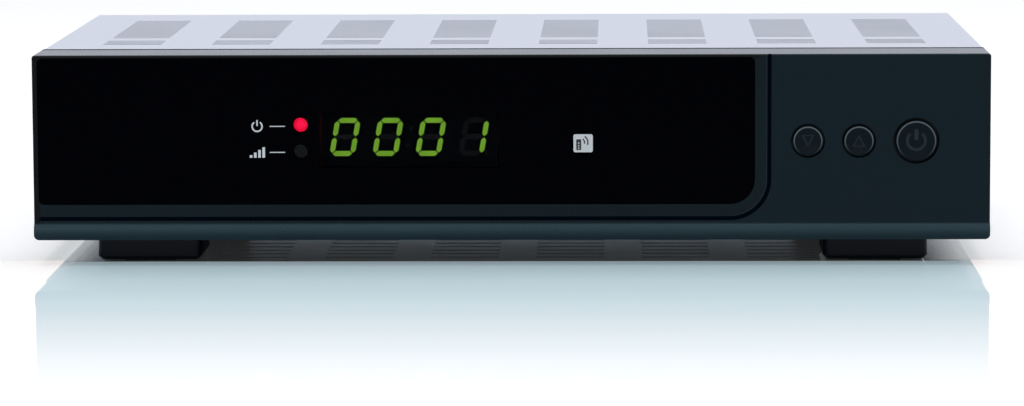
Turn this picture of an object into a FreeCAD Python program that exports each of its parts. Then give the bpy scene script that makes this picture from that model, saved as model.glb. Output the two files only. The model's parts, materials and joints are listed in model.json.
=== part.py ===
import FreeCAD, Part
import math
import os
import re
import Sketcher
from FreeCAD import Rotation, Vector

# A compact satellite television receiver: bezel, display window and three push buttons in front,
# folded steel pan and cover behind, circuit boards inside and sockets through the rear panel.
# Every piece is drawn from the middle of the front face's lower edge: X to the right, Y to the
# back, Z up. One placement then sets all of them on their feet, centred front to back.

doc = FreeCAD.newDocument("Receiver")
sheet = doc.addObject("Spreadsheet::Sheet", "Sizes")

sizes = """
caseWidth 260              overall width across the bezel
caseDepth 150              front face to the back of the cover
frontHeight 50.5           height of the front face
standHeight 7              gap under the case, held open by feet and pads

bezelDepth 21.5            front face to the bezel's rear edge
bezelWall 2                bezel side, top and bottom wall
frontWall 3                thickness behind the front face
lowRadius 1.4              lower corners of the front outline
topRadius 0.8              its upper corners
edgeRound 0.5              rounding of the front edges
shadowWide 2.4             groove round the bezel in front of the case
shadowDeep 0.9
shadowInset 0.6            groove to the bezel's rear edge
seamGap 1                  gap between the bezel and the steel case
lipTop 4.25                height of the rounded lip along the lower edge
lipBulge 0.8               how far the lip stands out

windowLeft =-caseWidth/2+1.4
windowRight =caseWidth/2-63.7
windowLow 9.7
windowTop =frontHeight-0.8
windowRadius 6.8           lower right corner of the window
windowCorner 1.5           its other corners
windowThick 2
windowFit 0.1              gap round the window
viewLeft -64               opening behind the window
viewRight 27
viewLow 18.5
viewTop 40
grooveInset 3.6            window edge to the groove
grooveWidth 0.8
grooveDeep 1

buttonHeight 26.9          middle of the three buttons
downButtonX =caseWidth/2-49.4
upButtonX =caseWidth/2-35.6
powerButtonX =caseWidth/2-20.1
channelRadius 4.15         cap of a channel button
powerRadius 5.55           cap of the power button
powerHoleExtra 0.2         wider gap round the power button
capGap 0.5                 gap between a cap and its hole
capProud 0.6               how far the caps stand out
capDish 0.3                hollow of a cap's face
dishInset 0.6              rim left round the hollow
capRound 0.35              rounding of a cap's edge
flangeExtra 0.8            flange past its hole
flangeThick 1
flangeGap 0.3              flange to the front wall
stemRadius 1.6
symbolDeep 0.25
symbolLine 0.45
buttonTravel 0.5

boardThick 1.6
boardFace 11.5             front board behind the front face
frontBoardLeft -78
frontBoardRight =caseWidth/2-13
frontBoardLow 6
frontBoardTop =frontHeight-5.5
boardPostLeft -73
boardPostRight =caseWidth/2-30
boardPostLow 10.5
boardPostHigh =frontHeight-9
postRadius 3
pilotRadius 1.45           hole that a screw cuts its thread in
holeRadius 1.75            hole that a screw passes
bezelPostX =caseWidth/2-7.5
bezelPostLow 9
bezelPostHigh =frontHeight-9.5

switchSide 6
switchDeep 3.5
plungerRadius 1.75
plungerReach 1             plunger in front of its switch
plungerSeat 0.8            plunger inside its switch
plungerFit 0.1

displayX -27.6
displayZ 27.3
displayWidth 47.8
displayHigh 14.4
displayGap 1.3             display face behind the front wall
digitPitch 11.7
digitHigh 10.4
digitWide 5.6
digitLift 0.45
digitLean 10
segmentWide 1.35
segmentGap 0.35
segmentThick 0.3
lampX -57.05
powerLampZ 31.4
signalLampZ 24.2
lampRadius 1.5
lampLong 5.3
lampFlange 1.9
lampStand 2.9
legApart 1.25              a leg's middle to the lamp's
legThick 0.5
receiverX 19.7
receiverZ 26.35
receiverWide 6
receiverHigh 7
receiverDeep 4
receiverDome 2.4

sheetThick 0.8
coverInset 0.1             cover inside the bezel's outline
coverBend 1                outside of the cover's bends
coverReturn 3.3            folded strip under each side
coverTongue 8              front tongue under the bezel's top wall
tongueDrop 2.9
tongueInset 4.5
rearFlange 9
ventPitchX =caseWidth*0.1173 eight groups across the cover
ventWide 16.3
slotWide 1.6
slotPitch 3.92
frontVentY 37.6            short field of slots
frontVentRows 4
rearVentY 60.9             long field of slots
rearVentRows 17
coverScrewX =caseWidth/2-20
coverScrewDrop 4.6

panGap 0.3                 pan edge to the cover's folded strips
panSide 12
panFrontTop =frontHeight-4.5
panRear 6.4                below the sockets on the boards
panWindowLeft -72
panWindowRight 60
panWindowLow 8
panWindowTop 38
underVentWide 19.6
underSlotWide 2.5
underSlotPitch 8
underVentY 71
underVentRows 6
panelGap 0.1               clearance between stacked sheets
panelScrewX =caseWidth/2-10
panelScrewZ 3.2

footWide 28.5
footDeep 27
footRound 2.5
footChamfer 1
frontFootX =caseWidth/2-30.5
rearFootX =caseWidth/2-34.3
frontFootY 8.5             front face of the front feet
rearFootY =caseDepth-38
footScrewShift 8
footScrewSink 3.2
headFit 0.4                gap round a sunk screw head
padSide 14
padThick 1
padProud 0.5
padShift -4

screwHead 2.8
screwHeadHigh 1.7
screwRadius 1.4
recessWide 0.8
recessLong 3.2
recessDeep 0.9
bezelScrew 9               lengths under the head
frontBoardScrew 7
caseScrew 6
boardScrew 6
footScrew 7

boardLift 5                boards above the underside of the pan
supplyLeft =-caseWidth/2+7.5
supplyRight =supplyLeft+45.5
supplyFront 32
supplyRear =caseDepth-3.5
supplyScrewLeft =supplyLeft+4.5
supplyScrewRight =supplyRight-4
supplyScrewNear 37
supplyScrewFar =caseDepth-29
mainLeft =supplyRight+5
mainRight =caseWidth/2-7
mainFront 60
mainRear =caseDepth-3.5
mainScrewLeft =mainLeft+5
mainScrewRight =mainRight-6
mainScrewInner =mainRight-43
mainScrewNear 64
mainScrewFar =caseDepth-28
standoffRadius 3.2
standoffFit 0.3            insulation sheet round a standoff

decoderX 24
decoderY 92
chipSide 27
chipHigh 2.2
heatsinkSide 28
heatsinkBase 2
heatsinkHigh 9
finThick 1
finCount 10
memoryX 50
memoryY 92
memoryPitch 16
memoryWide 22.2
memoryDeep 10.2
memoryHigh 1.1
audioChipX -6
audioChipWide 7.5
audioChipDeep 5.3
audioChipHigh 1.8
videoChipX 72
videoChipSide 9
videoChipHigh 1.2
chipRowY 85                the two small chips
crystalX 52
crystalY 70
crystalWide 11
crystalDeep 4.6
crystalHigh 3.5
smallCanRadius 4
smallCanHigh 11.5
outputCanHigh 16
outputCanPitch 9
outputCanInset 13          last can to the board's edge
outputCanY 38
ribbonX -16
ribbonWide 25
ribbonThick 0.9
ribbonLow 15               ribbon on the front board's header
ribbonHeaderWide 28
ribbonHeaderDeep 8.8
ribbonHeaderHigh 9
ribbonHeaderY 69
frontHeaderHigh 6
frontHeaderDeep 5
wireHeaderY 84
wireHeaderWide 5
wireHeaderDeep 16
wireHeaderHigh 7
wireHeaderInset 4          header's middle to the board's edge
wirePitch 2.5
wireRadius 0.7
wireArch 13                wires over their headers

tunerRight =mainRight-1
tunerLeft =tunerRight-34
tunerFront =caseDepth-46
tunerHigh 15.5
canClearance 2             tuner can to the rear panel
lnbHeight 14.3
lnbInX =tunerRight-8
lnbOutX =tunerLeft+8
lnbRadius 4.76
lnbBore 3.4
lnbReach 11                F connector behind the case
lnbCollar 6
lnbShoulder 0.6            collar outside the rear panel
connectorFit 0.3           gap round a socket in the rear panel
insulatorSink 1.2
contactRadius 0.6

hdmiX =tunerLeft-11
hdmiWide 15
hdmiHigh 5.6
hdmiDeep 12
hdmiWall 0.4
hdmiTongueWide 11.6
hdmiTongueHigh 1.6

serialX =hdmiX-25.5
serialZ 15.5
serialPlateWide 30.8
serialPlateHigh 12.5
serialTop 8.45             half width of the shell's long side
serialLow 7.35
serialHalf 4.15
serialReach 5.8
serialPostX 12.5
serialPostRadius 2.5
serialPostLong 5

phonoPitch 14
phonoZ 16
phonoRadius 4.15
phonoBore 3.3
phonoPin 1.65
phonoReach 9.3
coreSink 0.6               insulating core inside its sleeve's mouth
coreFloor 1
collarRadius 5.2
collarReach 1.6
digitalX =serialX-24
videoX =digitalX-16.5
phonoHalf 6.6
phonoBlockTop 24.5
phonoBlockDeep 13

scartX =mainLeft+24
scartHalf 23.2
scartLow 7.2
scartHigh 19.6
scartMargin 2.6            socket body to the shroud's edge, up and down
scartDeep 21
scartShroudHalf 22.3
scartShroudSlope 4.4
scartRing 1.7
scartWall 1.4
scartCavity 10
scartSlotPitch 3.81
scartSlotWide 1.2
scartSlotHigh 3.4
scartRowGap 2.9

inletX =supplyLeft+21.5
inletZ 16
inletHalf 10.5
inletHalfHigh 7.2
inletDeep 24
inletReach 1
inletLobe 4.6
inletPinX 4.3
inletWaist 3.4
inletCavity 10.5
inletPinRadius 1.2
inletPinLong 8.5

fuseX =supplyRight-8
fuseY 109
fuseRadius 2.6
fuseLong 20
fuseLift 5
clipPitch 14
clipWide 7
clipDeep 2.4
chokeX =supplyLeft+13
chokeY 107
chokeWide 17
chokeDeep 12
chokeHigh 19
filterX =supplyLeft+16
filterY 93
filterWide 18
filterDeep 8
filterHigh 15
bulkX =supplyLeft+12
bulkY 76
bulkRadius 9
bulkHigh 26
coreY 55
coreWide 28
coreDeep 15
coreHigh 23
windingWide 20
windingDeep 23
windingHigh 19
windingLift 2
coolerX =supplyRight-16    plate that cools the power transistor
coolerFront 68
coolerLong 24
coolerHigh 24
coolerThick 1.6
coolerFlange 4.4
flangeDeep 1.2
transistorY 81
transistorWide 10
transistorLow 4
transistorHigh 15
insulationThick 0.25
insulationGap 1.5          sheet's edge to the vents
"""

sheetNames = []


def formula(text):
    """The same formula with each size that it names taken from the sheet."""
    return re.sub(r"[A-Za-z]\w*", lambda word: "Sizes." + word[0] if word[0] in sheetNames else word[0], text)


def value(text):
    """A formula's value as a number."""
    return float(sheet.evalExpression(formula(text)))


def fillSheet():
    row = 0
    for line in sizes.strip().splitlines():
        words = line.split(None, 2)
        if not words:
            continue
        row += 1
        name, amount = words[0], words[1]
        sheet.set("A%d" % row, name)
        sheet.set("B%d" % row, amount)
        sheet.setAlias("B%d" % row, name)
        sheet.set("C%d" % row, words[2] if len(words) > 2 else "")
        sheetNames.append(name)
    doc.recompute()


fillSheet()

# Places that several pieces share, as formulas of the sizes.
panFront = "(bezelDepth + seamGap)"
coverTop = "(frontHeight - coverInset)"
coverHalf = "(caseWidth / 2 - coverInset)"
panHalf = "(caseWidth / 2 - coverInset - coverReturn - panGap)"
panelOuter = "(caseDepth - sheetThick - panelGap)"
panelInner = "(caseDepth - 2 * sheetThick - panelGap)"
panRearFace = "(caseDepth - 2 * sheetThick - 2 * panelGap)"
boardTop = "(boardLift + boardThick)"
boardBack = "(boardFace + boardThick)"
switchFace = "(boardFace - switchDeep)"
rearMost = "(caseDepth + lnbReach)"
groundShift = "(max(lipBulge; capProud) - %s) / 2" % rearMost
scartBase = "(scartLow + scartMargin)"
scartTop = "(scartLow + scartHigh - scartMargin)"
scartMiddle = "(scartLow + scartHigh / 2)"
heatsinkSeat = "(boardLift + boardThick + chipHigh)"
quarterBulge = 1 - math.sqrt(0.5)

nodes = []
planes = {"X": ("YZ_Plane", 1), "Y": ("XZ_Plane", -1), "Z": ("XY_Plane", 1)}
turned = {"X": Rotation(Vector(0, 1, 0), 90), "Y": Rotation(Vector(1, 0, 0), -90), "Z": Rotation()}


def bind(item, links):
    for path, text in links.items():
        item.setExpression(path, formula(text))


def keep(item, label):
    """Makes an object one of the receiver's pieces, and stands it on the ground."""
    if item.TypeId in ("Part::Box", "Part::Cylinder"):
        item = together([item])
    item.Label = label
    bind(item, {"Placement.Base.y": groundShift, "Placement.Base.z": "standHeight"})
    nodes.append(item)
    return item


def keepShape(label, shape):
    item = doc.addObject("Part::Feature", label)
    item.Shape = shape
    return keep(item, label)


def newBody(label):
    return keep(doc.addObject("PartDesign::Body", label), label)


# Sketches

def outline(sketch, corners):
    """A closed outline through (x, y) corners. A third entry bends the side that starts there
    to the left by that much at its middle."""
    spots = [Vector(value(corner[0]), value(corner[1]), 0) for corner in corners]
    first = sketch.GeometryCount
    ends = []
    for index, corner in enumerate(corners):
        start, stop = spots[index], spots[(index + 1) % len(spots)]
        if len(corner) == 2:
            sketch.addGeometry(Part.LineSegment(start, stop), False)
            ends.append((1, 2))
            continue
        chord = stop - start
        left = Vector(-chord.y, chord.x, 0).normalize()
        bow = Part.Arc(start, (start + stop) * 0.5 + left * value(corner[2]), stop).toShape().Curve
        towards = [math.atan2(spot.y - bow.Center.y, spot.x - bow.Center.x) for spot in (start, stop)]
        whole = Part.Circle(bow.Center, Vector(0, 0, 1), bow.Radius)
        turnsLeft = value(corner[2]) < 0
        sketch.addGeometry(Part.ArcOfCircle(whole, *(towards if turnsLeft else towards[::-1])), False)
        ends.append((1, 2) if turnsLeft else (2, 1))
        nextCorner = corners[(index + 1) % len(corners)]
        span = "((%s) - (%s))^2 + ((%s) - (%s))^2" % (nextCorner[0], corner[0], nextCorner[1], corner[1])
        bulge = "abs(%s)" % corner[2]
        hold(sketch, ["Radius", first + index], "(%s) / (8 * %s) + %s / 2" % (span, bulge, bulge))
    for index, corner in enumerate(corners):
        after = (index + 1) % len(corners)
        join = [first + index, ends[index][1], first + after, ends[after][0]]
        sketch.addConstraint(Sketcher.Constraint("Coincident", *join))
        spot = [-1, 1, first + index, ends[index][0]]
        hold(sketch, ["DistanceX"] + spot, corner[0])
        hold(sketch, ["DistanceY"] + spot, corner[1])


def hold(sketch, constraint, text):
    """Adds a dimension to a sketch and ties it to a formula."""
    index = sketch.addConstraint(Sketcher.Constraint(*constraint, value(text)))
    sketch.setExpression("Constraints[%d]" % index, formula(text))


def rectangle(sketch, left, right, low, high):
    outline(sketch, [(left, low), (right, low), (right, high), (left, high)])


def disc(sketch, x, y, radius):
    sketch.addGeometry(Part.Circle(Vector(value(x), value(y), 0), Vector(0, 0, 1), value(radius)), False)
    index = sketch.GeometryCount - 1
    hold(sketch, ["DistanceX", -1, 1, index, 3], x)
    hold(sketch, ["DistanceY", -1, 1, index, 3], y)
    hold(sketch, ["Radius", index], radius)


def profile(body, axis, start, shapes):
    """A sketch square to an axis, that far along it. Its directions are X and Y on a level
    plane, X and Z on a plane along the front, Y and Z on a plane along a side."""
    role, side = planes[axis]
    sketch = body.newObject("Sketcher::SketchObject", "Profile")
    sketch.AttachmentSupport = [([item for item in body.Origin.OriginFeatures if item.Role == role][0], "")]
    sketch.MapMode = "FlatFace"
    bind(sketch, {"AttachmentOffset.Base.z": "%d * (%s)" % (side, start)})
    for draw, *numbers in shapes:
        draw(sketch, *numbers)
    return sketch


# Features

def grow(body, axis, start, stop, shapes):
    pad = body.newObject("PartDesign::Pad", "Pad")
    pad.Profile = profile(body, axis, start, shapes)
    pad.Reversed = planes[axis][1] < 0
    bind(pad, {"Length": "(%s) - (%s)" % (stop, start)})
    body.Tip = pad
    return pad


def carve(body, axis, start, stop, shapes):
    doc.recompute()
    before = body.Shape.Volume
    pocket = body.newObject("PartDesign::Pocket", "Pocket")
    pocket.Profile = profile(body, axis, start, shapes)
    pocket.Reversed = planes[axis][1] > 0
    bind(pocket, {"Length": "(%s) - (%s)" % (stop, start)})
    body.Tip = pocket
    doc.recompute()
    assert body.Shape.Volume < before - 1e-6, "a pocket in %s cuts nothing" % body.Label
    return pocket


def originAxis(body, role):
    return ([item for item in body.Origin.OriginFeatures if item.Role == role][0], [""])


def repeat(body, feature, steps):
    """Copies a feature along one or two axes: each step is an axis, its pitch and its count."""
    pattern = body.newObject("PartDesign::LinearPattern", "Pattern")
    pattern.Originals = [feature]
    for number, (role, pitch, count) in zip(("", "2"), steps):
        setattr(pattern, "Direction" + number, originAxis(body, role))
        span = "(%s) * ((%s) - 1)" % (pitch, count)
        bind(pattern, {"Length" + number: span, "Occurrences" + number: count})
    body.Tip = pattern
    doc.recompute()


def edgeNames(shape, test):
    return ["Edge%d" % (index + 1) for index, edge in enumerate(shape.Edges) if test(edge.BoundBox)]


def ease(body, radius, test, kind="Fillet"):
    """Rounds, or chamfers, the edges whose bounding box passes a test."""
    doc.recompute()
    base = body.Tip
    edges = edgeNames(base.Shape, test)
    assert edges, "no edge to ease in %s" % body.Label
    easing = body.newObject("PartDesign::" + kind, kind)
    easing.Base = (base, edges)
    bind(easing, {"Radius" if kind == "Fillet" else "Size": radius})
    body.Tip = easing


def near(a, b):
    return abs(a - b) < 0.01


def alongY(box):
    return box.YLength > 0.5 and box.XLength < 0.01 and box.ZLength < 0.01


def alongZ(box):
    return box.ZLength > 0.5 and box.YLength < 0.01 and box.XLength < 0.01


# Plain solids

def block(x, y, z):
    """A box between pairs of formulas."""
    item = doc.addObject("Part::Box", "Block")
    for side, length, (low, high) in (("x", "Length", x), ("y", "Width", y), ("z", "Height", z)):
        bind(item, {"Placement.Base." + side: low, length: "(%s) - (%s)" % (high, low)})
    return item


def rod(axis, x, y, z, radius, length):
    """A cylinder that starts at a point and runs along an axis."""
    item = doc.addObject("Part::Cylinder", "Rod")
    item.Placement = FreeCAD.Placement(Vector(), turned[axis])
    links = {"Placement.Base.x": x, "Placement.Base.y": y, "Placement.Base.z": z}
    links.update({"Radius": radius, "Height": length})
    bind(item, links)
    return item


def joined(items):
    if len(items) == 1:
        return items[0]
    item = doc.addObject("Part::MultiFuse", "Joined")
    item.Shapes = items
    return item


def without(base, tools):
    item = doc.addObject("Part::Cut", "Cut")
    item.Base = base
    item.Tool = joined(tools)
    return item


def together(items):
    item = doc.addObject("Part::Compound", "Group")
    item.Links = items
    return item


def screws(axis, way, seat, places, length):
    """Pan head screws. way is 1 where a shank points along its axis and -1 where it points
    back, seat is where the heads sit, and places are the two other coordinates."""
    heads, recesses = [], []
    shankStart = seat if way > 0 else "%s - %s" % (seat, length)
    headStart = "%s - screwHeadHigh" % seat if way > 0 else seat
    crossStart = headStart if way > 0 else "%s + screwHeadHigh - recessDeep" % seat
    order = {"Y": lambda a, b, c: (a, c, b), "Z": lambda a, b, c: (a, b, c)}[axis]
    for first, second in places:
        shank = rod(axis, *order(first, second, shankStart), "screwRadius", length)
        head = rod(axis, *order(first, second, headStart), "screwHead", "screwHeadHigh")
        heads += [shank, head]
        depth = (crossStart, "%s + recessDeep" % crossStart)
        for wide, tall in (("recessLong", "recessWide"), ("recessWide", "recessLong")):
            across = ("%s - %s / 2" % (first, wide), "%s + %s / 2" % (first, wide))
            upward = ("%s - %s / 2" % (second, tall), "%s + %s / 2" % (second, tall))
            recesses.append(block(*order(across, upward, depth)))
    return without(joined(heads), recesses)


# Bezel and window

def windowOutline(sketch, spread):
    """The window's outline, made larger all round by that much. It has one large corner."""
    left, right = "windowLeft - (%s)" % spread, "windowRight + (%s)" % spread
    low, top = "windowLow - (%s)" % spread, "windowTop + (%s)" % spread
    small, large = "(windowCorner + (%s))" % spread, "(windowRadius + (%s))" % spread
    outline(sketch, [
        ("%s + %s" % (left, small), low),
        ("%s - %s" % (right, large), low, "-%f * %s" % (quarterBulge, large)),
        (right, "%s + %s" % (low, large)),
        (right, "%s - %s" % (top, small), "-%f * %s" % (quarterBulge, small)),
        ("%s - %s" % (right, small), top),
        ("%s + %s" % (left, small), top, "-%f * %s" % (quarterBulge, small)),
        (left, "%s - %s" % (top, small)),
        (left, "%s + %s" % (low, small), "-%f * %s" % (quarterBulge, small))])


def groove(sketch):
    """The groove's outline: along under the window, round its large corner and up to the top."""
    inner, outer = "(grooveInset)", "(grooveInset + grooveWidth)"
    corner = {side: "(windowRadius + %s)" % side for side in (inner, outer)}
    middleX, middleZ = "(windowRight - windowRadius)", "(windowLow + windowRadius)"
    outline(sketch, [
        ("windowLeft", "windowLow - " + outer),
        (middleX, "windowLow - " + outer, "-%f * %s" % (quarterBulge, corner[outer])),
        ("windowRight + " + outer, middleZ),
        ("windowRight + " + outer, "frontHeight + 1"),
        ("windowRight + " + inner, "frontHeight + 1"),
        ("windowRight + " + inner, middleZ, "%f * %s" % (quarterBulge, corner[inner])),
        (middleX, "windowLow - " + inner),
        ("windowLeft", "windowLow - " + inner)])


buttonKinds = [("channel_down", "downButtonX", "channelRadius", "capGap"),
               ("channel_up", "upButtonX", "channelRadius", "capGap"),
               ("power", "powerButtonX", "powerRadius", "(capGap + powerHoleExtra)")]
bezelPosts = [(x, z) for x in ("-bezelPostX", "bezelPostX") for z in ("bezelPostLow", "bezelPostHigh")]
boardPosts = [(x, z) for x in ("boardPostLeft", "boardPostRight") for z in ("boardPostLow", "boardPostHigh")]


def makeBezel():
    bezel = newBody("front_bezel")
    grow(bezel, "Y", "-lipBulge - 1", "bezelDepth", [
        (rectangle, "-caseWidth / 2", "caseWidth / 2", "0", "frontHeight")])
    ease(bezel, "lowRadius", lambda box: alongY(box) and near(box.ZMin, 0))
    ease(bezel, "topRadius", lambda box: alongY(box) and near(box.ZMin, value("frontHeight")))
    # The front face lies behind the rounded lip that runs along the lower edge.
    lip = [("-lipBulge - 2", "-1"), ("0", "-1"), ("0", "0", "lipBulge"), ("0", "lipTop"),
           ("0", "frontHeight + 1"), ("-lipBulge - 2", "frontHeight + 1")]
    carve(bezel, "X", "-caseWidth / 2 - 1", "caseWidth / 2 + 1", [(outline, lip)])
    sideTop = value("frontHeight - topRadius")
    upperEdges = lambda box: near(box.YMax, 0) and near(box.YMin, 0) and (
        box.ZMin > value("lipTop") - 0.01 and (box.ZLength > 0.5 or box.ZMin > sideTop))
    ease(bezel, "edgeRound", upperEdges)
    carve(bezel, "Y", "frontWall", "bezelDepth", [
        (rectangle, "-caseWidth / 2 + bezelWall", "caseWidth / 2 - bezelWall",
         "bezelWall", "frontHeight - bezelWall")])
    carve(bezel, "Y", "0", "windowThick", [(windowOutline, "0")])
    carve(bezel, "Y", "windowThick", "frontWall", [
        (rectangle, "viewLeft", "viewRight", "viewLow", "viewTop")])
    carve(bezel, "Y", "0", "grooveDeep", [(groove,)])
    left, right, top = "-caseWidth / 2", "caseWidth / 2", "frontHeight"
    inLeft, inRight, inTop = left + " + shadowDeep", right + " - shadowDeep", top + " - shadowDeep"
    arch = [(left + " - 1", "-1"), (inLeft, "-1"), (inLeft, inTop), (inRight, inTop), (inRight, "-1"),
            (right + " + 1", "-1"), (right + " + 1", top + " + 1"), (left + " - 1", top + " + 1")]
    carve(bezel, "Y", "bezelDepth - shadowInset - shadowWide", "bezelDepth - shadowInset", [(outline, arch)])
    holes = [(disc, x, "buttonHeight", "%s + %s" % (radius, gap)) for name, x, radius, gap in buttonKinds]
    carve(bezel, "Y", "0", "frontWall", holes)
    grow(bezel, "Y", "frontWall", panFront, [(disc, x, z, "postRadius") for x, z in bezelPosts])
    grow(bezel, "Y", "frontWall", "boardFace", [(disc, x, z, "postRadius") for x, z in boardPosts])
    carve(bezel, "Y", panFront + " - 12", panFront, [(disc, x, z, "pilotRadius") for x, z in bezelPosts])
    carve(bezel, "Y", "frontWall", "boardFace", [(disc, x, z, "pilotRadius") for x, z in boardPosts])


def makeWindow():
    window = newBody("display_window")
    grow(window, "Y", "0", "windowThick", [(windowOutline, "-windowFit")])
    ease(window, "0.2", lambda box: near(box.YMax, 0) and near(box.YMin, 0))


# Buttons and their switches

def triangle(sketch, x, way):
    """An outlined triangle, as two outlines one inside the other. way 1 points up."""
    for inset in ("0", "symbolLine"):
        foot = "buttonHeight - %d * (1.7 - %s)" % (way, inset)
        tip = "buttonHeight + %d * (1.7 - 1.9 * %s)" % (way, inset)
        half = "(1.9 - 1.75 * %s)" % inset
        corners = [("%s - %s" % (x, half), foot), ("%s + %s" % (x, half), foot), (x, tip)]
        outline(sketch, corners if way > 0 else corners[::-1])


def powerRing(sketch, x):
    """The open ring of a standby symbol: most of a circle with a gap at the top."""
    turn = math.radians(38)
    outer, inner = 2.9, 2.0
    spots = [[(radius * math.sin(side * turn), radius * math.cos(turn)) for side in (-1, 1)]
             for radius in (outer, inner)]
    left, right = spots[0]
    innerLeft, innerRight = spots[1]
    place = lambda spot: ("%s + %f" % (x, spot[0]), "buttonHeight + %f" % spot[1])
    outline(sketch, [
        place(left) + ("-%f" % (outer * (1 + math.cos(turn))),),
        place(right),
        place(innerRight) + ("%f" % (inner * (1 + math.cos(turn))),),
        place(innerLeft)])


def makeButton(name, x, radius, gap):
    button = newBody(name + "_button")
    flange = "frontWall + flangeGap"
    grow(button, "Y", "-capProud", flange, [(disc, x, "buttonHeight", radius)])
    ease(button, "capRound", lambda box: near(box.YMax, value("-capProud")))
    grow(button, "Y", flange, flange + " + flangeThick",
         [(disc, x, "buttonHeight", "%s + %s + flangeExtra" % (radius, gap))])
    grow(button, "Y", flange + " + flangeThick", switchFace + " - plungerReach",
         [(disc, x, "buttonHeight", "stemRadius")])
    dish = button.newObject("PartDesign::Groove", "Dish")
    hollow = "(%s - dishInset)" % radius
    section = profile(button, "X", x, [])
    rim, axis = "buttonHeight + " + hollow, value("buttonHeight")
    outline(section, [("-capProud - 1", "buttonHeight"), ("-capProud + capDish", "buttonHeight"),
                      ("-capProud", rim), ("-capProud - 1", rim)])
    section.addGeometry(Part.LineSegment(Vector(-5, axis, 0), Vector(5, axis, 0)))
    section.toggleConstruction(section.GeometryCount - 1)
    section.addConstraint(Sketcher.Constraint("Horizontal", section.GeometryCount - 1))
    section.addConstraint(Sketcher.Constraint("PointOnObject", 0, 1, section.GeometryCount - 1))
    dish.Profile = section
    dish.ReferenceAxis = (section, ["Axis0"])
    dish.Angle = 360
    button.Tip = dish
    deepest = "-capProud + capDish + symbolDeep"
    if name == "power":
        carve(button, "Y", "-capProud", deepest, [(powerRing, x)])
        carve(button, "Y", "-capProud", deepest,
              [(rectangle, x + " - 0.6", x + " + 0.6", "buttonHeight + 0.2", "buttonHeight + 3.2")])
    else:
        carve(button, "Y", "-capProud", deepest, [(triangle, x, 1 if name == "channel_up" else -1)])
    plunger = rod("Y", x, switchFace + " - plungerReach", "buttonHeight",
                  "plungerRadius", "plungerReach + plungerSeat")
    keep(plunger, name + "_plunger")


def makeSwitches():
    bodies, bores = [], []
    for name, x, radius, gap in buttonKinds:
        half = "switchSide / 2"
        bodies.append(block(("%s - %s" % (x, half), "%s + %s" % (x, half)), (switchFace, "boardFace"),
                            ("buttonHeight - " + half, "buttonHeight + " + half)))
        bores.append(rod("Y", x, switchFace, "buttonHeight", "plungerRadius + plungerFit",
                         "plungerSeat + buttonTravel + 0.2"))
    keep(without(joined(bodies), bores), "tact_switches")


# Front board

def makeFrontBoard():
    board = newBody("front_board")
    grow(board, "Y", "boardFace", boardBack,
         [(rectangle, "frontBoardLeft", "frontBoardRight", "frontBoardLow", "frontBoardTop")])
    carve(board, "Y", "boardFace", boardBack, [(disc, x, z, "holeRadius") for x, z in boardPosts])


displayFace = "(frontWall + displayGap)"


def makeDisplay():
    display = newBody("display_module")
    grow(display, "Y", displayFace, "boardFace", [
        (rectangle, "displayX - displayWidth / 2", "displayX + displayWidth / 2",
         "displayZ - displayHigh / 2", "displayZ + displayHigh / 2")])


def segmentSolids():
    """The seven bars of each digit, a point beside the last one and the two dots of a colon."""
    height, width, bar = value("digitHigh"), value("digitWide"), value("segmentWide")
    gap, lean = value("segmentGap"), math.tan(math.radians(value("digitLean")))
    middleZ = value("displayZ + digitLift")
    front, thick = value(displayFace + " - segmentThick"), value("segmentThick")
    halfHigh = (height - bar) / 2

    def plate(points, middleX):
        corners = [Vector(middleX + x + z * lean, front, middleZ + z) for x, z in points]
        return Part.Face(Part.makePolygon(corners + corners[:1])).extrude(Vector(0, thick, 0))

    def level(z):
        reach = width / 2 - gap
        return [(-reach, z), (-reach + bar / 2, z + bar / 2), (reach - bar / 2, z + bar / 2),
                (reach, z), (reach - bar / 2, z - bar / 2), (-reach + bar / 2, z - bar / 2)]

    def upright(x, side):
        low, high = sorted((side * gap, side * (halfHigh - gap)))
        return [(x, low), (x + bar / 2, low + bar / 2), (x + bar / 2, high - bar / 2),
                (x, high), (x - bar / 2, high - bar / 2), (x - bar / 2, low + bar / 2)]

    solids = []
    for digit in range(4):
        middleX = value("displayX") + (digit - 1.5) * value("digitPitch")
        solids += [plate(level(z), middleX) for z in (-halfHigh, 0, halfHigh)]
        solids += [plate(upright(x, side), middleX) for x in (-width / 2, width / 2) for side in (-1, 1)]
    dots = [(value("displayX"), side * height * 0.22) for side in (-1, 1)]
    dots.append((value("displayX + 2 * digitPitch") - 1.6, -halfHigh))
    for x, z in dots:
        centre = Vector(x + z * lean, front, middleZ + z)
        solids.append(Part.makeCylinder(0.6, thick, centre, Vector(0, 1, 0)))
    return Part.makeCompound(solids)


def makeLamp(label, z):
    back = "boardFace - lampStand"
    parts = [rod("Y", "lampX", back + " - lampLong + lampRadius", z, "lampRadius", "lampLong - lampRadius"),
             rod("Y", "lampX", back + " - 1", z, "lampFlange", "1")]
    dome = doc.addObject("Part::Sphere", "Dome")
    bind(dome, {"Radius": "lampRadius", "Placement.Base.x": "lampX",
                "Placement.Base.y": back + " - lampLong + lampRadius", "Placement.Base.z": z})
    legs = []
    for side in (-1, 1):
        x = "lampX + %d * legApart" % side
        legs.append(block((x + " - legThick / 2", x + " + legThick / 2"), (back, "boardFace"),
                          (z + " - legThick / 2", z + " + legThick / 2")))
    keep(joined(parts + [dome] + legs), label)


def makeReceiver():
    half = "receiverWide / 2"
    body = block(("receiverX - " + half, "receiverX + " + half), ("boardFace - receiverDeep", "boardFace"),
                 ("receiverZ - receiverHigh / 2", "receiverZ + receiverHigh / 2"))
    dome = doc.addObject("Part::Sphere", "Dome")
    bind(dome, {"Radius": "receiverDome", "Placement.Base.x": "receiverX",
                "Placement.Base.y": "boardFace - receiverDeep", "Placement.Base.z": "receiverZ"})
    keep(joined([body, dome]), "infrared_receiver")


# Folded steel case

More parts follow.
